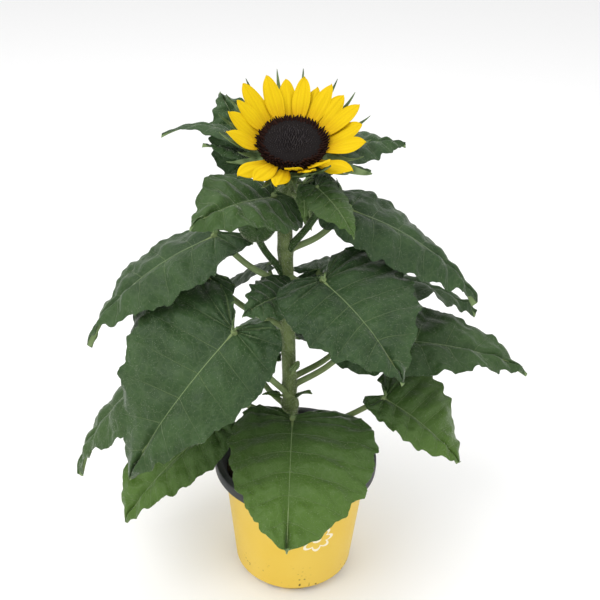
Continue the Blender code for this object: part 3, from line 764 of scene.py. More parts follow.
def build_hairs():
    """Fine tapered hairs over a surface, leaning at random."""
    tree, given, result = new_group(
        "fine_hairs", "GeometryNodeTree",
        [("Surface", "Geometry", None), ("Density", "Float", 500000.0),
         ("Length", "Float", 0.0015), ("Width", "Float", 0.00006),
         ("Lean", "Float", 0.5), ("Seed", "Int", 1), ("Hair", "Material", None)],
        [("Hairs", "Geometry")])
    points = add_node(tree, "GeometryNodeDistributePointsOnFaces", {
        "Mesh": given["Surface"], "Density": given["Density"], "Seed": given["Seed"]})
    hair = add_node(tree, "GeometryNodeMeshCone", {
        "Vertices": 3, "Side Segments": 1, "Radius Top": 0.05, "Radius Bottom": 1.0, "Depth": 1.0})
    lean = add_node(tree, "ShaderNodeCombineXYZ", {0: given["Lean"], 1: given["Lean"], 2: pi})
    less = add_node(tree, "ShaderNodeVectorMath", {0: lean.outputs[0], 1: (-1, -1, -1)}, operation="MULTIPLY")
    turn = random_turn(tree, less.outputs[0], lean.outputs[0], given["Seed"])
    facing = add_node(tree, "FunctionNodeRotateRotation", {
        "Rotation": points.outputs["Rotation"], "Rotate By": turn}, rotation_space="LOCAL")
    long = scaled(tree, given["Length"], random_number(tree, 0.5, 1.2, given["Seed"]))
    size = add_node(tree, "ShaderNodeCombineXYZ", {0: given["Width"], 1: given["Width"], 2: long})
    hairs = add_node(tree, "GeometryNodeInstanceOnPoints", {
        "Points": points.outputs["Points"], "Instance": hair.outputs["Mesh"], "Rotation": facing.outputs[0],
        "Scale": size.outputs[0]})
    dress(tree, hairs, given["Hair"], result["Hairs"])


def build_spiral():
    """Copies of a shape on a domed disc, each turned by the golden angle from the one before."""
    tree, given, result = new_group(
        "golden_spiral", "GeometryNodeTree",
        [("Carrier", "Geometry", None), ("Shape", "Object", None),
         ("First", "Int", 0), ("Count", "Int", 300), ("Whole Count", "Int", 600),
         ("Radius", "Float", 0.02), ("Rise", "Float", 0.003), ("Size", "Float", 1.0),
         ("Lean", "Float", 0.3), ("Unevenness", "Float", 0.25), ("Seed", "Int", 3),
         ("Skin", "Material", None)],
        [("Florets", "Geometry")])
    index = maths(tree, "ADD", tree.nodes.new("GeometryNodeInputIndex").outputs[0], given["First"])
    share = maths(tree, "SQRT", maths(tree, "DIVIDE", maths(tree, "ADD", index, 0.5), given["Whole Count"]))
    reach = scaled(tree, share, given["Radius"])
    turn = scaled(tree, index, GOLDEN_ANGLE)
    drop = scaled(tree, scaled(tree, share, share), given["Rise"])
    spot = add_node(tree, "ShaderNodeCombineXYZ", {
        0: scaled(tree, reach, maths(tree, "COSINE", turn)),
        1: scaled(tree, reach, maths(tree, "SINE", turn)),
        2: maths(tree, "SUBTRACT", given["Rise"], drop)})
    points = add_node(tree, "GeometryNodePoints", {"Count": given["Count"], "Position": spot.outputs[0]})
    wobble = random_number(tree, -0.3, 0.3, given["Seed"])
    lean = scaled(tree, given["Lean"], maths(tree, "ADD", share, wobble))
    facing = add_node(tree, "ShaderNodeCombineXYZ", {1: lean, 2: maths(tree, "ADD", turn, wobble)})
    least = maths(tree, "SUBTRACT", 1.0, given["Unevenness"])
    most = maths(tree, "ADD", 1.0, given["Unevenness"])
    size = scaled(tree, given["Size"], random_number(tree, least, most, given["Seed"]))
    shape = add_node(tree, "GeometryNodeObjectInfo", {"Object": given["Shape"]})
    copies = add_node(tree, "GeometryNodeInstanceOnPoints", {
        "Points": points.outputs[0], "Instance": shape.outputs["Geometry"], "Rotation": facing.outputs[0],
        "Scale": size})
    dress(tree, copies, given["Skin"], result["Florets"])


def build_crumbs():
    """Copies of one crumb scattered over a surface, at random turns and sizes."""
    tree, given, result = new_group(
        "scattered_crumbs", "GeometryNodeTree",
        [("Surface", "Geometry", None), ("Shape", "Object", None),
         ("Density", "Float", 50000.0), ("Least", "Float", 0.4),
         ("Most", "Float", 1.4), ("Seed", "Int", 5), ("Skin", "Material", None)],
        [("Crumbs", "Geometry")])
    points = add_node(tree, "GeometryNodeDistributePointsOnFaces", {
        "Mesh": given["Surface"], "Density": given["Density"], "Seed": given["Seed"]})
    turn = random_turn(tree, (-pi, -pi, -pi), (pi, pi, pi), given["Seed"])
    size = random_number(tree, given["Least"], given["Most"], given["Seed"])
    shape = add_node(tree, "GeometryNodeObjectInfo", {"Object": given["Shape"]})
    copies = add_node(tree, "GeometryNodeInstanceOnPoints", {
        "Points": points.outputs["Points"], "Instance": shape.outputs["Geometry"], "Rotation": turn,
        "Scale": size})
    dress(tree, copies, given["Skin"], result["Crumbs"])


# ---------------------------------------------------------------- the plant's routes


def stem_foot():
    """The lowest point of the stem's axis, in the soil."""
    lean = Vector(STEM_ROUTE[0]) * MM
    return Vector((lean.x, lean.y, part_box("main_stem")[0][2]))


def head_matrix():
    """The place and tilt of the flower head."""
    return Matrix.Translation(HEAD_CENTRE) @ Matrix.Rotation(radians(HEAD_TILT), 4, "X")


def below_head(distance):
    """A point behind the calyx, on the flower head's axis."""
    return head_matrix() @ Vector((0, 0, -DISC_DEPTH - CALYX_DEPTH - distance))


def stem_points(count):
    """The stem's axis: straight in the soil and under the head, curved between."""
    lean = [Vector(corner) * MM + UP * SOIL_TOP for corner in STEM_ROUTE]
    curved = smooth_line([*lean, below_head(STEM_STRAIGHT)], count)
    return np.vstack([[stem_foot()], curved, [below_head(0)]])


STEM_LINE = stem_points(241)


def stem_at(height):
    """The stem's axis at a height above the soil."""
    return Vector([float(np.interp(SOIL_TOP + height, STEM_LINE[:, 2], STEM_LINE[:, k])) for k in range(3)])


def seeded(name):
    """A random generator that gives the same numbers for a name every time."""
    return np.random.default_rng(sum(ord(letter) * (place + 1) for place, letter in enumerate(name)))


class Leaf:
    """The shape of one leaf, from its row of the table."""

    def __init__(self, name, height, petiole, blade, width, arch, roll, fall, skew, full=0):
        self.name = name
        self.root = stem_at(height * MM)
        self.joint = self.root + Vector(petiole) * MM
        run = Vector(blade) * MM
        self.length = run.length
        self.half_width = width * MM / 2
        self.skew = skew
        self.full = full
        self.arch = arch * MM
        self.fall = radians(fall)
        self.forward = run.normalized()
        level = self.forward.cross(UP).normalized()
        self.side = Matrix.Rotation(radians(roll), 3, self.forward) @ level
        self.up = self.side.cross(self.forward)
        self.thick = max(0.4, min(1, width / 50))

    def surface(self, along, across):
        """Points of the plain blade for arrays of shares of its length and of its half width."""
        wider = 1 + self.skew * np.sign(across)
        reach = across * self.half_width * wider
        rise = 4 * along * (1 - np.maximum(along, 0)) * self.arch - np.abs(reach) * sin(self.fall)
        return (np.array(self.joint) + np.outer(along, self.forward).reshape(*along.shape, 3) * self.length
                + np.multiply.outer(reach * cos(self.fall), np.array(self.side))
                + np.multiply.outer(rise, np.array(self.up)))

    def grown(self, half):
        """1 for a leaf at least this many mm wide on each side, and less for a smaller one."""
        return min(1, self.half_width / (half * MM))

    def petiole(self):
        out = self.joint - self.root
        level = Vector((out.x, out.y, 0)).normalized()
        start = self.root + level * STEM_RADIUS * 0.6
        middle = start.lerp(self.joint, 0.5) - UP * min(PETIOLE_BOW, out.length / 6)
        return smooth_line([start, middle, self.joint], 2 * max(6, int(out.length / (3 * MM))) + 1)


def teeth(where, count, lean=0.3):
    """A saw line of so many teeth, each leaning to the tip: 0 in a notch, 1 at a point."""
    share = (where * count) % 1
    return np.where(share < 1 - lean, share / (1 - lean), (1 - share) / lean)


def uneven_teeth(where, count, random):
    """Teeth of uneven width and depth, with a finer row between them."""
    shift = 0
    depth = 0.65
    for pace in (2, 3, 5):
        shift = shift + random.uniform(0.4, 1) * np.sin(2 * pi * (where * pace + random.uniform())) / pace
        depth = depth + 0.14 * np.sin(2 * pi * (where * pace * 2.3 + random.uniform()))
    coarse = teeth(where + shift * 0.6 / count, count)
    return coarse * depth + 0.22 * teeth(where, count * 2.4)


def blade_mesh(leaf, settings, face, underside):
    """The leaf's blade: toothed, quilted between its side veins, and waved along its edge."""
    small = 2 * leaf.half_width < 30 * MM
    rows = 61 if small else 81 + 10 * int(leaf.length / (14 * MM))
    half = 6 if small else 9 + int(leaf.half_width / (3.2 * MM))
    random = seeded(leaf.name)
    edge = smooth_line(LEAF_OUTLINE, rows)
    outer = np.clip((edge[:, 0] - 0.2) / 0.3, 0, 1)
    edge[:, 1] = np.maximum(edge[:, 1], 0) ** (1 - leaf.full * outer)
    share = np.linspace(0, 1, rows)
    vein = np.maximum(0, (share - BASAL_SHARE) / (1 - BASAL_SHARE))
    t = np.linspace(-1, 1, 2 * half + 1)
    across = np.abs(t)[None, :]
    count = max(7, int(leaf.length / settings.tooth_step))
    ease = np.minimum(1, 6 * (1 - share)) * np.minimum(1, 8 * share)
    saw = [uneven_teeth(share, count, random) * ease for _ in range(2)]
    tooth = np.where(t[None, :] < 0, saw[0][:, None], saw[1][:, None])
    scallop = 0.5 * np.cos(2 * pi * share * SIDE_VEINS)[:, None] * ease[:, None]
    tooth_deep = settings.tooth * leaf.grown(30) * (
        tooth * across ** 8 + scallop * across ** 3)
    along = vein[:, None] + (edge[:, :1] - vein[:, None]) * across ** 1.05
    reach = np.sign(t)[None, :] * across * edge[:, 1:]
    side_ways = np.sign(t)[None, :] * tooth_deep / leaf.half_width
    along = along + tooth_deep * 0.6 / leaf.length
    points = leaf.surface(along, reach + side_ways)
    rank = share * SIDE_VEINS
    swell = np.abs(np.sin(pi * rank)) ** 1.3
    quilt = settings.quilt * leaf.grown(35)
    ribbed = quilt * swell[:, None] * np.sin(pi * np.minimum(1, across * 1.05)) ** 0.7
    dip = -quilt * 1.1 * np.exp(-(across * 6) ** 2) * np.minimum(1, 5 * share)[:, None]
    phases = random.uniform(0, 2 * pi, 6)
    wave = settings.wave * leaf.grown(30) * across ** 2 * (
        np.sin(share * 11 + phases[0])[:, None] * np.where(t < 0, 1, 0)
        + np.sin(share * 10 + phases[1])[:, None] * np.where(t >= 0, 1, 0))
    crumple = np.zeros_like(along)
    for step, depth in ((34 * MM, 1.0), (21 * MM, 0.8), (13 * MM, 0.7), (8 * MM, 0.5)):
        for _ in range(3):
            heading, shift = random.uniform(0, 2 * pi, 2)
            ramp = (along * leaf.length * cos(heading) + reach * leaf.half_width * sin(heading)) / step
            crumple += settings.crumple * depth * np.sin(2 * pi * ramp + shift) / 2
    lift = ribbed + dip + wave + crumple * across * leaf.grown(30)
    points = points + np.multiply.outer(lift, np.array(leaf.up))
    tip = np.maximum(0, along - 0.6)
    curl = settings.tip_curl * leaf.length * tip ** 2 * 6
    points = points - np.multiply.outer(curl, np.array(UP)) * leaf.grown(25)
    flat = np.stack([along * leaf.length, reach * leaf.half_width], -1)
    veins = np.stack(np.broadcast_arrays(rank[:, None], t[None, :]), -1)
    gap = np.abs(np.gradient(along, axis=0)) * leaf.length * (rows - 1) / SIDE_VEINS
    spacing = np.maximum(gap, 1.5 * MM)
    # painted light through the leaf, lighter towards its tip
    bright = PAINTED_GLOW.get(leaf.name, USUAL_PAINTED_GLOW)
    glow = bright * (1 + 1.1 * (along - 0.4))
    reach = np.maximum(leaf.half_width * np.abs(edge[:, 1:]), 0.5 * MM) * np.ones_like(along)
    masks = {"spacing": spacing, "reach": reach,
             "glow": np.clip(glow, 0, 1)}
    maps = {"flat": flat, "veins": veins}
    return sheet(leaf.name, points, settings.blade_thickness * leaf.thick, maps, masks, [face, underside])


def stalk_mesh(leaf, quilt, skin):
    """The petiole, widening into the stem, and the midrib it runs on as, under the blade."""
    line = leaf.petiole()
    radius = PETIOLE_RADIUS * leaf.thick
    share = np.linspace(0, 1, len(line))
    radii = radius * (1 + 0.9 * np.exp(-share * len(line)) + 0.15 * (1 - share))
    stalk = tube(leaf.name + "_stalk", line, radii, 12, skin, 0.05)
    along = np.linspace(0, 0.97, 24)
    thin = (radius * (1 - along) ** 0.7 * 0.6 + 0.12 * MM) * 0.8
    sunk = quilt * 1.1 * np.minimum(1, 5 * (along + 0.1)) + 0.4 * MM + thin * 0.8
    under = leaf.surface(along, np.zeros_like(along)) - np.outer(sunk, np.array(leaf.up))
    route, radii = np.vstack([line[-2:-1], under]), np.concatenate([[radius], thin])
    return [stalk, tube(leaf.name + "_midrib", route, radii, 6, skin)]


# ---------------------------------------------------------------- pieces


def leaf_piece(name, settings, face, underside, skin, hair):
    """One leaf: blade, stalk and midrib as one piece, and its hairs where it is large enough."""
    leaf = Leaf(name, *LEAVES[name])
    quilt = settings.quilt * leaf.grown(35)
    piece = join_meshes(name, [blade_mesh(leaf, settings, face, underside), *stalk_mesh(leaf, quilt, skin)])
    declare(piece, "green_leaf", name)
    if 2 * leaf.half_width > HAIRY_FROM:
        hairs = grown(name + "_hair", piece.data, "fine_hairs", {
            "Density": settings.hair_density, "Length": settings.hair_length, "Width": settings.hair_width,
            "Lean": 0.45, "Seed": len(name), "Hair": hair})
        declare(hairs, "green_leaf")


def make_stem_pieces(settings, skin, hair):
    """The ribbed stem, swelling at each leaf, and its hairs."""
    points = STEM_LINE
    height = points[:, 2]
    radii = np.full(len(points), STEM_RADIUS)
    for at, by in STEM_SWELLS:
        radii = radii * (1 + (by - 1) * np.exp(-((height - SOIL_TOP - at * MM) / SWELL_REACH) ** 2))
    stem = join_meshes("stem_skin", [tube("stem_skin", points, radii, 28, skin, 0.04, 7)])
    declare(stem, "green_stem", "main_stem")
    hairs = grown("stem_hair", stem.data, "fine_hairs", {
        "Density": settings.stem_hair_density, "Length": settings.stem_hair_length,
        "Width": settings.stem_hair_width, "Lean": 0.35, "Seed": 7, "Hair": hair})
    declare(hairs, "green_stem")


def on_head(points, bearing):
    """Points laid out along +X, turned to a bearing round the flower head."""
    turn = np.array(head_matrix() @ Matrix.Rotation(radians(bearing), 4, "Z"))
    return points @ turn[:3, :3].T + turn[:3, 3]


def petal_pitch(cup, share):
    """How steeply a petal of this cup rises at shares of its length."""
    return np.radians(cup) * np.minimum(1, 0.5 + share * 1.6) * (1.12 - 0.35 * share)


def petal_mesh(name, plan, lift, skin):
    """A grooved petal, which narrows to its neck and cups upwards."""
    bearing, length, width, cup = plan
    rows, columns = 34, 15
    share = np.linspace(0, 1, rows)
    t = np.linspace(-1, 1, columns)
    swell = PETAL_NECK + (1 - PETAL_NECK) * np.sin(pi / 2 * np.minimum(1, share / PETAL_WIDEST))
    half = width * MM / 2 * swell * (1 - share ** 4) ** 0.75
    pitch = petal_pitch(cup, share)
    step = length * MM / (rows - 1)
    out = DISC_RADIUS + 1 * MM + running(np.cos(pitch)) * step - PETAL_TUCK * (1 - share) ** 3
    height = -DISC_DEPTH + 1 * MM + lift + running(np.sin(pitch)) * step
    random = seeded(name)
    phases = random.uniform(0, 2 * pi, 3)
    across = half[:, None] * t[None, :]
    grooves = 0.35 * MM * np.cos(t * 2.5 * pi + phases[0])[None, :] * np.sin(share * pi)[:, None] ** 0.5
    ruffle = 0.9 * MM * (np.sin(share * 7 + phases[1])[:, None] * t[None, :] * share[:, None])
    fold = 0.12 * np.abs(across) + 0.5 * MM * np.cos(t * pi)[None, :] * np.sin(share * pi)[:, None]
    twist = 0.1 * across * np.sin(share * 3 + phases[2])[:, None]
    lift = height[:, None] + grooves + ruffle + fold + twist
    points = on_head(np.stack(np.broadcast_arrays(out[:, None], across, lift), -1), bearing)
    return sheet(name, points, 0.45 * MM, length_map(share, t), {}, [skin])


def make_disc_pieces(settings, outer_skin, inner_skin):
    """A domed disc of small dark florets, spiky and pointing outwards near its edge."""
    rings = [(0, DISC_RISE * 0.75), (DISC_RADIUS * 0.3, DISC_RISE * 0.88), (DISC_RADIUS * 0.65, DISC_RISE),
             (DISC_RADIUS * 0.9, DISC_RISE * 0.6), (DISC_RADIUS, -0.6 * MM),
             (DISC_RADIUS * 0.95, -DISC_DEPTH)]
    core = turned_mesh("disc_core", rings, 48, inner_skin, head_matrix())
    floret = shaped("floret", lambda shape: bmesh.ops.create_cone(
        shape, cap_ends=True, segments=5, radius1=0.55 * MM, radius2=0.12 * MM, depth=FLORET_HEIGHT,
        matrix=Matrix.Translation(UP * FLORET_HEIGHT / 2)))
    model = place_mesh(floret, "floret_model")
    point = bpy.data.meshes.new("disc_point")
    point.from_pydata([(0, 0, 0)], [], [])
    total = settings.florets
    inner = int(total * FRINGE_FROM)
    groups = [("disc_florets", 0, inner, 0.25, inner_skin, 1.0),
              ("disc_fringe", inner, total - inner, 0.7, outer_skin, 2.0)]
    pieces = [join_meshes("disc_middle", [core])]
    for name, first, count, lean, skin, long in groups:
        tree = {"First": first, "Count": count, "Whole Count": total, "Radius": DISC_RADIUS * 1.01,
                "Rise": DISC_RISE, "Size": long, "Lean": lean, "Seed": 3, "Skin": skin}
        piece = grown(name, point, "golden_spiral", {**tree, "Shape": model}, head_matrix())
        add_tips(piece)
        pieces.append(piece)
    bpy.data.objects.remove(model)
    for piece in pieces:
        declare(piece, "dark_florets", "flower_disc")


def add_tips(piece):
    """Marks how far each point stands above the disc, 0 to 1, for the florets' colour."""
    inverse = head_matrix().inverted()
    mesh = piece.data
    tips = mesh.attributes.new("tip", "FLOAT", "POINT")
    spots = np.empty(len(mesh.vertices) * 3)
    mesh.vertices.foreach_get("co", spots)
    local = (np.array(inverse) @ np.c_[spots.reshape(-1, 3), np.ones(len(mesh.vertices))].T)[2]
    tips.data.foreach_set("value", np.clip(local / (5 * MM), 0, 1).astype(np.float32))


def turned_mesh(name, profile, segments, material, matrix=None):
    """A closed turned shape from a profile of (radius, height) on its outer side."""
    mesh = bpy.data.meshes.new(name)
    turn = np.linspace(0, 2 * pi, segments, endpoint=False)
    points = [(radius * cos(a), radius * sin(a), height) for radius, height in profile for a in turn]
    mesh.from_pydata(points, [], ring_faces(len(profile), segments))
    if matrix:
        mesh.transform(matrix)
    mesh.materials.append(material)
    worked(merged(mesh, 0.005 * MM), lambda shape: bmesh.ops.holes_fill(
        shape, edges=[edge for edge in shape.edges if edge.is_boundary], sides=0))
    return finish_mesh(mesh)


def make_calyx_pieces(skin):
    """The green cup behind the disc, with its two whorls of bracts and the wide ones in front."""
    rim = DISC_RADIUS + CALYX_OVERHANG
    profile = [(0, -DISC_DEPTH), (rim * 0.9, -DISC_DEPTH), (rim, -DISC_DEPTH - 1.5 * MM),
               (rim * 0.86, -DISC_DEPTH - 0.35 * CALYX_DEPTH),
               (STEM_RADIUS * 1.6, -DISC_DEPTH - 0.75 * CALYX_DEPTH),
               (STEM_RADIUS, -DISC_DEPTH - CALYX_DEPTH), (0, -DISC_DEPTH - CALYX_DEPTH)]
    parts = [turned_mesh("calyx_cup", profile, 48, skin, head_matrix())]
    ring = sorted((plan[0], plan[3]) for plan in PETALS)
    bearings = np.array([ring[-1][0] - 360, *(b for b, _ in ring), ring[0][0] + 360])
    cups = np.array([ring[-1][1], *(c for _, c in ring), ring[0][1]])
    random = seeded("calyx_bract")
    for index in range(BRACTS):
        bearing = (360 * (index + 0.5) / BRACTS + BRACT_TURN) % 360
        cup = float(np.interp(bearing, bearings, cups))
        parts.append(bract_mesh(f"bract_{index}", bearing, cup, random, skin))
        parts.append(bract_mesh(f"bract_low_{index}", bearing + 10, cup - 14, random, skin, 0.55))
    for index, (bearing, cup, scale) in enumerate(WIDE_BRACTS):
        parts.append(bract_mesh(f"bract_front_{index}", bearing, cup, random, skin, scale, 2.2))
    declare(join_meshes("calyx_skin", parts), "green_calyx", "flower_calyx")


def bract_mesh(name, bearing, cup, random, skin, scale=1.0, wide=1.0):
    """A narrow green bract under the petals, bending up with them and turning out at its tip."""
    length = BRACT_LENGTH * (1 - BRACT_SHORTENING * (1 - sin(radians(bearing)))) * scale
    rows, columns = 22, 9
    share = np.linspace(0, 1, rows)
    t = np.linspace(-1, 1, columns)
    half = BRACT_WIDTH * wide / 2 * ((1 - share) ** 0.8 + 0.04)
    pitch = petal_pitch(cup, share) + np.radians(40 * share ** 3 - 14)
    start = DISC_RADIUS + CALYX_OVERHANG - BRACT_ROOT
    out = start + running(np.cos(pitch)) * length / (rows - 1)
    height = -DISC_DEPTH - BRACT_DROP + running(np.sin(pitch)) * length / (rows - 1)
    across = half[:, None] * t[None, :]
    bend = 2 * MM * np.sin(random.uniform(0, 6)) * share ** 2
    fold = 0.35 * np.abs(across) + 0.3 * MM * np.sin(share * 9 + random.uniform(0, 6))[:, None] * t[None, :]
    points = np.stack(np.broadcast_arrays(out[:, None], across + bend[:, None], height[:, None] + fold), -1)
    points = on_head(points, bearing)
    return sheet(name, points, 0.4 * MM, length_map(share, t), {}, [skin])


def bud_piece(name, skin, hair):
    """A closed bud: overlapping upright sepals round a core, thin curling bracts below, and its stalk."""
    height, run = BUDS[name]
    root = stem_at(height * MM)
    base = root + Vector(run) * MM
    level = Vector((run[0], run[1], 0)).normalized()
    start = root + level * STEM_RADIUS * 0.6
    middle = start.lerp(base, 0.55) + level * 2 * MM
    line = smooth_line([start, middle, base, base + UP * BUD_HEIGHT * 0.3], 40)
    share = np.linspace(0, 1, 40)
    radii = BUD_STALK_RADIUS * (1 + 0.7 * np.exp(-share * 12) + 0.2 * share)
    parts = [tube(name + "_stalk", line, radii, 14, skin, 0.05)]
    core = [(BUD_RADIUS * out, BUD_HEIGHT * up)
            for out, up in ((0, 0.9), (0.35, 0.84), (0.7, 0.62), (0.86, 0.38), (0.7, 0.12), (0.25, 0))]
    parts.append(turned_mesh(name + "_core", core, 24, skin, Matrix.Translation(base)))
    random = seeded(name)
    whorls = [(7, 1.0, 0.0, 1.25), (7, 1.1, -0.06, 0.95), (6, 1.25, -0.1, 0.45)]
    for ring, (count, reach, lift, close) in enumerate(whorls):
        for index in range(count):
            turn = 2 * pi * (index + 0.5 * ring) / count + random.uniform(-0.12, 0.12)
            parts.append(sepal_mesh(
                f"{name}_sepal_{ring}_{index}", base, turn, reach, lift, close, random, skin))
    for index in range(6):
        turn = 2 * pi * index / 6 + random.uniform(-0.3, 0.3)
        parts.append(curl_mesh(f"{name}_curl_{index}", base, turn, random, skin))
    piece = join_meshes(name + "_skin", parts)
    declare(piece, "green_calyx", name)
    hairs = grown(name + "_hair", piece.data, "fine_hairs", {
        "Density": 1.2e6, "Length": 0.9 * MM, "Width": 0.05 * MM, "Lean": 0.5, "Seed": 11, "Hair": hair})
    declare(hairs, "green_calyx")


def sepal_mesh(name, base, turn, reach, lift, close, random, skin):
    """A pointed sepal hugging the bud; close says how far its tip folds in over the top."""
    rows, columns = 16, 9
    share = np.linspace(0, 1, rows)
    t = np.linspace(-1, 1, columns)
    body = np.sin(pi * np.minimum(1, 0.12 + share * 0.62)) ** 0.6
    radius = BUD_RADIUS * reach * body * (1 - 0.45 * close * share ** 3)
    z = BUD_HEIGHT * (lift + share * (1.02 + 0.05 * random.uniform(-1, 1)))
    half = 0.62 * (1 - share ** 2.5) ** 0.8
    angle = turn + half[:, None] * t[None, :]
    ridge = 0.5 * MM * (1 - t[None, :] ** 2) * np.sin(share * pi)[:, None]
    out = radius[:, None] + ridge
    points = np.stack(np.broadcast_arrays(out * np.cos(angle), out * np.sin(angle), z[:, None]), -1)
    points = points + np.array(base)
    return sheet(name, points[::-1], 0.4 * MM, {"length": length_map(share, t)["length"][::-1]}, {}, [skin])


def curl_mesh(name, base, turn, random, skin):
    """A thin bract that curls away from the bud."""
    rows, columns = 16, 5
    share = np.linspace(0, 1, rows)
    t = np.linspace(-1, 1, columns)
    length = BUD_HEIGHT * random.uniform(0.8, 1.15)
    lean = radians(random.uniform(20, 60)) - radians(random.uniform(40, 110)) * share ** 2
    out = BUD_RADIUS * 0.75 + running(np.sin(lean)) * length / (rows - 1)
    z = BUD_HEIGHT * 0.1 + running(np.cos(lean)) * length / (rows - 1)
    half = 1.5 * MM * (1 - share) ** 0.7 + 0.12 * MM
    across = half[:, None] * t[None, :]
    x = out[:, None] * cos(turn) - across * sin(turn)
    y = out[:, None] * sin(turn) + across * cos(turn)
    points = np.stack([x, y, np.broadcast_to(z[:, None], x.shape)], -1) + np.array(base)
    return sheet(name, points, 0.35 * MM, length_map(share, t), {}, [skin])


# ---------------------------------------------------------------- pot and soil


def neck_radius(height):
    """The pot's outer radius on its tapered wall."""
    share = (height - FOOT_HEIGHT) / (POT_HEIGHT - LIP_HEIGHT - FOOT_HEIGHT)
    return BASE_RADIUS + (NECK_RADIUS - BASE_RADIUS) * share


def make_pot_piece(printed, plastic):
    """A fine turned pot: yellow outside up to the lip, dark lip and inside, drainage notches in the foot."""
    lip_bottom = POT_HEIGHT - LIP_HEIGHT
    mouth = RIM_RADIUS - LIP_WIDTH
    round_by = 1.4 * MM
    inner = [(0, 2 * MM), (BASE_RADIUS - FOOT_SLOPE - POT_WALL, 2 * MM),
             (BASE_RADIUS - POT_WALL, FOOT_HEIGHT),
             (neck_radius(0.5 * lip_bottom) - POT_WALL, 0.5 * lip_bottom),
             (neck_radius(lip_bottom) - POT_WALL, lip_bottom)]
    lip = [(mouth, POT_HEIGHT - round_by), (mouth + round_by * 0.3, POT_HEIGHT - round_by * 0.3),
           (mouth + round_by, POT_HEIGHT), (RIM_RADIUS - round_by, POT_HEIGHT),
           (RIM_RADIUS - round_by * 0.3, POT_HEIGHT - round_by * 0.3), (RIM_RADIUS, POT_HEIGHT - round_by),
           (RIM_RADIUS + 0.2 * MM, POT_HEIGHT - 0.5 * LIP_HEIGHT), (RIM_RADIUS, lip_bottom + 0.8 * MM),
           (RIM_RADIUS - 0.8 * MM, lip_bottom), (NECK_RADIUS + 0.4 * MM, lip_bottom)]
    heights = [lip_bottom - 0.5 * MM, 90 * MM, 75 * MM, 60 * MM, 45 * MM, 30 * MM, 20 * MM, 12 * MM]
    wall = [(neck_radius(height), height) for height in heights]
    steps = [NOTCH_HEIGHT, NOTCH_HEIGHT - 0.1 * MM]
    foot = [(BASE_RADIUS, FOOT_HEIGHT), (BASE_RADIUS - 0.25 * FOOT_SLOPE, FOOT_HEIGHT - 1.5 * MM)]
    foot += [(BASE_RADIUS - FOOT_SLOPE * (1 - height / FOOT_HEIGHT), height) for height in steps]
    foot += [(BASE_RADIUS - FOOT_SLOPE * 0.99, 0.0), (0, 0)]
    profile = np.array(inner + lip + wall + foot)
    segments = 288
    turn = np.linspace(-pi / 2, 1.5 * pi, segments + 1)
    rows = len(profile)
    radius = np.repeat(profile[:, :1], segments + 1, axis=1)
    height = np.repeat(profile[:, 1:], segments + 1, axis=1)
    middles = -pi / 2 + (np.arange(NOTCHES) + 0.5) * 2 * pi / NOTCHES
    near = np.min(np.abs((turn[None, :] - middles[:, None] + pi) % (2 * pi) - pi), axis=0)
    notch = near * BASE_RADIUS < NOTCH_WIDTH / 2
    low = (np.arange(rows) >= rows - 3) & (np.arange(rows) < rows - 1)
    in_notch = np.minimum(radius, BASE_RADIUS - FOOT_SLOPE - 2 * MM)
    radius = np.where(low[:, None] & notch[None, :], in_notch, radius)
    points = np.stack([radius * np.cos(turn), radius * np.sin(turn), height], -1)
    wrap = np.stack([(turn + pi / 2)[None, :] * BASE_RADIUS * np.ones((rows, 1)), height], -1)
    return revolve("pot_body", points, wrap, profile, lip_bottom, printed, plastic)


def revolve(name, points, wrap, profile, lip_bottom, printed, plastic):
    """A closed turned mesh from its grid of points; the outside below the lip is printed."""
    rows, columns, _ = points.shape
    ring = columns - 1
    loops = [spot for i in range(rows - 1) for j in range(ring)
             for spot in ((i, j), (i, j + 1), (i + 1, j + 1), (i + 1, j))]
    inside = profile[:, 0] < NECK_RADIUS - 0.2 * MM
    outside_from = int(np.argmin(np.abs(profile[:, 1] - (lip_bottom - 0.5 * MM)) + inside))
    kinds = [0 if i >= outside_from else 1 for i in range(rows - 1) for _ in range(ring)]
    mesh = bpy.data.meshes.new(name)
    mesh.from_pydata(points[:, :-1].reshape(-1, 3).tolist(), [], ring_faces(rows, ring))
    layer = mesh.uv_layers.new(name="wrap")
    layer.uv.foreach_set("vector", np.array([wrap[i, j] for i, j in loops], np.float32).ravel())
    mesh.materials.append(printed)
    mesh.materials.append(plastic)
    mesh.polygons.foreach_set("material_index", kinds)
    return finish_mesh(merged(mesh, 0.002 * MM), 40)


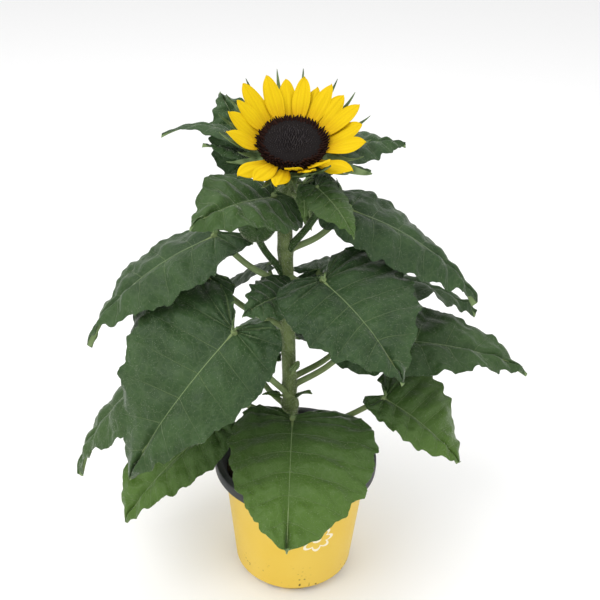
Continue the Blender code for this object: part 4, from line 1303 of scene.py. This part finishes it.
def make_soil_mesh(skin):
    """Loose soil: a bumpy round top, closed below, standing inside the pot."""
    random = seeded("soil")
    rings, segments = 40, 90
    inner = neck_radius(SOIL_TOP) - POT_WALL - 0.45 * MM
    share = np.linspace(0, 1, rings)
    turn = np.linspace(0, 2 * pi, segments, endpoint=False)
    x = inner * np.outer(share, np.cos(turn))
    y = inner * np.outer(share, np.sin(turn))
    z = np.zeros_like(x)
    for scale, depth in ((130, 1.3), (310, 0.8), (620, 0.5)):
        for _ in range(4):
            heading, shift = random.uniform(0, 2 * pi), random.uniform(0, 2 * pi)
            z += depth * MM * np.sin(scale * (x * cos(heading) + y * sin(heading)) + shift) / 4
    middle = 1.6 * MM * np.exp(-((x + 3 * MM) ** 2 + y ** 2) / (14 * MM) ** 2)
    top = SOIL_TOP - 1.2 * MM + np.clip(z, -2.2 * MM, 1.1 * MM) + middle
    verts = np.stack([x, y, top], -1).reshape(-1, 3)
    bottom = 9 * MM
    low = np.stack([0.8 * inner * np.cos(turn), 0.8 * inner * np.sin(turn), np.full(segments, bottom)], -1)
    verts = np.vstack([verts, low, [[0, 0, bottom]]])
    faces = ring_faces(rings, segments)
    last = (rings - 1) * segments
    for j in range(segments):
        k = (j + 1) % segments
        faces.append([last + j, last + k, last + segments + k, last + segments + j])
        faces.append([last + segments + j, last + segments + k, len(verts) - 1])
    mesh = bpy.data.meshes.new("soil_bed")
    mesh.from_pydata(verts.tolist(), [], faces)
    mesh.materials.append(skin)
    return finish_mesh(merged(mesh, 0.01 * MM), 80)


def crumb_model(random):
    """One rough crumb of soil."""

    def build(shape):
        bmesh.ops.create_icosphere(shape, subdivisions=1, radius=1.0 * MM)
        for vert in shape.verts:
            vert.co *= random.uniform(0.6, 1.2)

    return place_mesh(shaped("crumb", build), "crumb_model")


def make_soil_pieces(settings, bed_skin, crumb_skin):
    """The bed of soil, and the crumbs scattered on it."""
    bed = place_mesh(make_soil_mesh(bed_skin), "soil_bed")
    declare(bed, "potting_soil", "soil")
    model = crumb_model(seeded("crumb"))
    crumbs = grown("soil_crumbs", crumb_ground(), "scattered_crumbs", {
        "Shape": model, "Density": settings.crumb_density, "Least": 0.35, "Most": 1.7, "Seed": 4,
        "Skin": crumb_skin})
    bpy.data.objects.remove(model)
    declare(crumbs, "potting_soil")


def crumb_ground():
    """The flat ring that crumbs are scattered on."""
    inner = neck_radius(SOIL_TOP) - POT_WALL - 2.4 * MM
    level = Matrix.Translation(UP * (SOIL_TOP - 0.9 * MM))
    return shaped("crumb_ground", lambda shape: bmesh.ops.create_circle(
        shape, cap_ends=True, segments=64, radius=inner, matrix=level))


# ---------------------------------------------------------------- settings and operators


def number(name, description, default, **how):
    return bpy.props.FloatProperty(name=name, description=description, default=default, **how)


def metres(name, description, default):
    return number(name, description, default, unit="LENGTH")


def tint(name, description, default):
    return bpy.props.FloatVectorProperty(name=name, description=description, default=default, size=3,
                                         subtype="COLOR", min=0, max=1)


class SunflowerLeafSettings(bpy.types.PropertyGroup):
    blade_thickness: metres("Blade thickness", "Thickness of a large leaf's blade", 0.55 * MM)
    tooth: metres("Tooth", "How far the teeth of a large leaf's edge stand out", 2.4 * MM)
    tooth_step: metres("Tooth step", "Distance along the leaf from one tooth to the next", 6.5 * MM)
    quilt: metres("Quilt", "How far the blade swells between side veins", 3.0 * MM)
    wave: metres("Wave", "How far the edge waves up and down", 3.6 * MM)
    crumple: metres("Crumple", "How uneven the blade is as a whole", 1.3 * MM)
    tip_curl: number("Tip curl", "How far the tip turns down, as a share of the length", 0.06,
                     subtype="FACTOR")
    hair_density: number("Hair density", "Hairs on a leaf, per square metre", 2.5e5)
    hair_length: metres("Hair length", "Length of a leaf's hairs", 0.7 * MM)
    hair_width: metres("Hair width", "Width of a leaf's hairs", 0.04 * MM)
    leaf_dark: tint("Dark green", "The darkest green of a leaf's face", (0.010, 0.032, 0.008))
    leaf_mid: tint("Green", "The usual green of a leaf's face", (0.022, 0.056, 0.014))
    # Painted light: the green a leaf is painted where light would shine through it
    leaf_light: tint("Light green", "The green of a leaf with light behind it", (0.064, 0.130, 0.014))
    leaf_vein: tint("Vein", "The pale green of veins", (0.24, 0.33, 0.14))
    # Painted sheen: the pale grey-green mixed in specks into a leaf's face for the shine of its waxy, hairy
    # surface
    leaf_sheen: tint("Sheen", "The pale grey-green of the leaf's surface wax", (0.10, 0.14, 0.095))
    leaf_back: tint("Underside", "The pale green of a leaf's underside", (0.09, 0.145, 0.055))


class SunflowerFlowerSettings(bpy.types.PropertyGroup):
    florets: bpy.props.IntProperty(name="Florets", description="Florets on the disc", default=620)
    petal: tint("Petal", "The golden yellow of the petals", (0.68, 0.48, 0.006))
    # Painted shade: the ochre a petal darkens to near the disc, which is also the colour of its fine lines
    petal_base: tint("Petal base", "The deeper tone at a petal's base", (0.50, 0.25, 0.006))
    fringe_low: tint("Fringe base", "The outer florets low down", (0.010, 0.005, 0.004))
    fringe_high: tint("Fringe tip", "The outer florets' tips", (0.040, 0.014, 0.009))
    inner_low: tint("Middle base", "The inner florets low down", (0.010, 0.008, 0.008))
    inner_high: tint("Middle tip", "The inner florets' tips", (0.085, 0.075, 0.078))
    calyx: tint("Calyx", "The green of the calyx and of the buds", (0.04, 0.08, 0.02))
    calyx_light: tint("Calyx light", "The light streaks of the calyx", (0.18, 0.25, 0.11))
    bract: tint("Bract", "The green of the buds' bracts", (0.02, 0.048, 0.011))


class SunflowerPotSettings(bpy.types.PropertyGroup):
    print_radius: metres("Print radius", "Radius of the printed flower outline", 13 * MM)
    yellow: tint("Yellow", "The pot's printed yellow", (0.74, 0.50, 0.062))
    yellow_worn: tint("Worn yellow", "The yellow where it is scuffed", (0.80, 0.58, 0.12))
    cream: tint("Cream", "The pale tone of the printed flower", (0.88, 0.80, 0.60))
    slate: tint("Slate", "The dark plastic of the lip", (0.030, 0.032, 0.034))
    slate_dusty: tint("Dusty slate", "The lip where dust lies on it", (0.09, 0.09, 0.086))
    crumb_density: number("Crumb density", "Crumbs of soil, per square metre", 1.1e5)


class SunflowerStemSettings(bpy.types.PropertyGroup):
    stem: tint("Stem", "The pale green of the stem", (0.080, 0.118, 0.038))
    stem_light: tint("Stem light", "The stem's light streaks", (0.18, 0.235, 0.09))
    stalk: tint("Stalk", "The pale green of petioles", (0.22, 0.30, 0.13))
    hair: tint("Hair", "The near-white of the hairs", (0.62, 0.65, 0.5))
    stem_hair_density: number("Stem hair density", "Hairs on the stem, per square metre", 8e5)
    stem_hair_length: metres("Stem hair length", "Length of the stem's hairs", 1.6 * MM)
    stem_hair_width: metres("Stem hair width", "Width of the stem's hairs", 0.06 * MM)


class SunflowerStageSettings(bpy.types.PropertyGroup):
    height: metres("Camera height", "Height of the camera", 0.527)
    distance: metres("Camera distance", "How far in front of the pot the camera stands", 0.54)
    pitch: number("Pitch", "How far down the camera looks", radians(27.5), subtype="ANGLE")
    roll: number("Roll", "How far the camera leans", radians(1.6), subtype="ANGLE")
    lens: number("Lens", "The camera's focal length in millimetres", 50)
    floor: tint("Floor", "The pale floor", (0.92, 0.92, 0.92))
    key: number("Light", "Strength of the soft lights, as a share of their watts", 1.0)


def skins():
    """The materials that several pieces share, made once."""
    scene = bpy.context.scene
    leaf, flower, pot, stem = (scene.sunflower_leaves, scene.sunflower_flower, scene.sunflower_pot,
                               scene.sunflower_stem)
    return {
        "leaf_face": make_leaf_face(leaf),
        "leaf_underside": make_leaf_underside(leaf),
        "petiole": make_green_skin("petiole_skin", stem.stalk, stem.stem_light),
        "stem": make_green_skin("stem_green", stem.stem, stem.stem_light, 0.25),
        "petal": make_petal_skin(flower),
        "inner": make_floret_skin("floret_inner", flower.inner_low, flower.inner_high, 0.6),
        "fringe": make_floret_skin("floret_fringe", flower.fringe_low, flower.fringe_high, 0.5),
        "calyx": make_green_skin("calyx_skin", flower.calyx, flower.calyx_light),
        "bract": make_green_skin("bract_skin", flower.bract, flower.calyx),
        "hair": make_hair("hair", stem.hair),
        "soil": make_soil_skin("soil_bed", (0.030, 0.019, 0.013), (0.13, 0.08, 0.05), 260, 0.4 * MM),
        "crumb": make_soil_skin("soil_crumb", (0.022, 0.014, 0.010), (0.16, 0.10, 0.065), 420, 0.2 * MM),
        "print": make_pot_print(pot),
        "plastic": make_pot_plastic(pot),
    }


class MakeStage(bpy.types.Operator):
    """Makes the floor, the soft light and the camera"""

    bl_idname = "sunflower.make_stage"
    bl_label = "Stage"

    def execute(self, context):
        settings = context.scene.sunflower_stage
        slab = [(0, 0), (FLOOR_RADIUS, 0), (FLOOR_RADIUS, -FLOOR_DEPTH), (0, -FLOOR_DEPTH)]
        floor = place_mesh(turned_mesh("floor", slab, 64, floor_material(settings)), "floor")
        world = bpy.data.worlds.new("daylight")
        world.use_nodes = True
        sky = world.node_tree.nodes["Background"].inputs
        sky["Color"].default_value = (1, 1, 1, 1)
        sky["Strength"].default_value = DAYLIGHT
        context.scene.world = world
        context.scene.view_settings.view_transform = "Standard"
        for name, spot, size, watts in LIGHTS:
            lamp = bpy.data.lights.new(name, "AREA")
            lamp.energy = settings.key * watts
            lamp.size = size
            light = bpy.data.objects.new(name, lamp)
            light.location = spot
            light.rotation_mode = "QUATERNION"
            light.rotation_quaternion = (Vector(spot) - Vector((0, 0, 0.25))).to_track_quat("Z", "Y")
            context.scene.collection.objects.link(light)
        camera = bpy.data.cameras.new("camera")
        camera.lens = settings.lens
        camera.clip_end = 10
        view = bpy.data.objects.new("camera", camera)
        view.location = (0, -settings.distance, settings.height)
        down = Matrix.Rotation(radians(90) - settings.pitch, 4, "X")
        view.rotation_euler = (down @ Matrix.Rotation(settings.roll, 4, "Z")).to_euler()
        context.scene.collection.objects.link(view)
        context.scene.camera = view
        return {"FINISHED"}


def floor_material(settings):
    """A matt floor with a barely uneven tone."""
    material, tree, shader = new_material("floor_white", Roughness=0.95, Specular_IOR_Level=0.2)
    grain = noise(tree, object_place(tree), 3.0, 2)
    wire(shader, Base_Color=mix_colour(tree, scaled(tree, grain, 0.04), settings.floor, (1, 1, 1)))
    return material


class MakePot(bpy.types.Operator):
    """Makes the nursery pot, printed outside and bare inside"""

    bl_idname = "sunflower.make_pot"
    bl_label = "Pot"

    def execute(self, context):
        piece = place_mesh(make_pot_piece(SKINS["print"], SKINS["plastic"]), "pot_body")
        declare(piece, "pot_plastic", "pot")
        return {"FINISHED"}


class MakeSoil(bpy.types.Operator):
    """Makes the bed of soil and the crumbs on it"""

    bl_idname = "sunflower.make_soil"
    bl_label = "Soil"

    def execute(self, context):
        make_soil_pieces(context.scene.sunflower_pot, SKINS["soil"], SKINS["crumb"])
        return {"FINISHED"}


class MakeStem(bpy.types.Operator):
    """Makes the stem with its ribs and hairs"""

    bl_idname = "sunflower.make_stem"
    bl_label = "Stem"

    def execute(self, context):
        make_stem_pieces(context.scene.sunflower_stem, SKINS["stem"], SKINS["hair"])
        return {"FINISHED"}


class MakeLeaves(bpy.types.Operator):
    """Makes every leaf with its petiole and hairs"""

    bl_idname = "sunflower.make_leaves"
    bl_label = "Leaves"

    def execute(self, context):
        settings = context.scene.sunflower_leaves
        materials = [SKINS[skin] for skin in ("leaf_face", "leaf_underside", "petiole", "hair")]
        for name in LEAVES:
            leaf_piece(name, settings, *materials)
        return {"FINISHED"}


class MakePetals(bpy.types.Operator):
    """Makes the grooved petals"""

    bl_idname = "sunflower.make_petals"
    bl_label = "Petals"

    def execute(self, context):
        for index, plan in enumerate(PETALS):
            name = f"petal_{index + 1:02d}"
            petal = petal_mesh(name, plan, ROW_STEP * (index % 2), SKINS["petal"])
            declare(place_mesh(petal, name + "_skin"), "yellow_petal", name)
        return {"FINISHED"}


class MakeDisc(bpy.types.Operator):
    """Makes the disc of dark florets"""

    bl_idname = "sunflower.make_disc"
    bl_label = "Disc"

    def execute(self, context):
        make_disc_pieces(context.scene.sunflower_flower, SKINS["fringe"], SKINS["inner"])
        return {"FINISHED"}


class MakeCalyx(bpy.types.Operator):
    """Makes the calyx cup and its bracts"""

    bl_idname = "sunflower.make_calyx"
    bl_label = "Calyx"

    def execute(self, context):
        make_calyx_pieces(SKINS["calyx"])
        return {"FINISHED"}


class MakeBuds(bpy.types.Operator):
    """Makes the closed buds on their stalks"""

    bl_idname = "sunflower.make_buds"
    bl_label = "Buds"

    def execute(self, context):
        for name in BUDS:
            bud_piece(name, SKINS["bract"], SKINS["hair"])
        return {"FINISHED"}


class SunflowerPanel(bpy.types.Panel):
    """Lists the pieces of the potted sunflower"""

    bl_idname = "VIEW3D_PT_sunflower"
    bl_label = "Potted sunflower"
    bl_space_type = "VIEW_3D"
    bl_region_type = "UI"
    bl_category = "Sunflower"

    def draw(self, context):
        for operator in OPERATORS:
            self.layout.operator(operator.bl_idname)
        for settings in SETTINGS:
            group = getattr(context.scene, settings)
            for name in group.bl_rna.properties.keys():
                if name not in ("rna_type", "name"):
                    self.layout.prop(group, name)


OPERATORS = (MakeStage, MakePot, MakeSoil, MakeStem, MakeLeaves, MakePetals, MakeDisc, MakeCalyx, MakeBuds)
SETTINGS = {"sunflower_leaves": SunflowerLeafSettings, "sunflower_flower": SunflowerFlowerSettings,
            "sunflower_pot": SunflowerPotSettings, "sunflower_stem": SunflowerStemSettings,
            "sunflower_stage": SunflowerStageSettings}
SKINS = {}  # filled by main, for the operators


def register():
    for kind in (*SETTINGS.values(), *OPERATORS, SunflowerPanel):
        bpy.utils.register_class(kind)
    for name, kind in SETTINGS.items():
        setattr(bpy.types.Scene, name, bpy.props.PointerProperty(type=kind))


def unregister():
    for name in SETTINGS:
        delattr(bpy.types.Scene, name)
    for kind in reversed((*SETTINGS.values(), *OPERATORS, SunflowerPanel)):
        bpy.utils.unregister_class(kind)


def main():
    register()
    for build in (build_mottle, build_vein_net, build_stripes, build_flower_print, build_hairs, build_spiral,
                  build_crumbs):
        build()
    SKINS.update(skins())
    for operator in OPERATORS:
        area, action = operator.bl_idname.split(".")
        getattr(getattr(bpy.ops, area), action)()


if __name__ == "__main__":
    main()
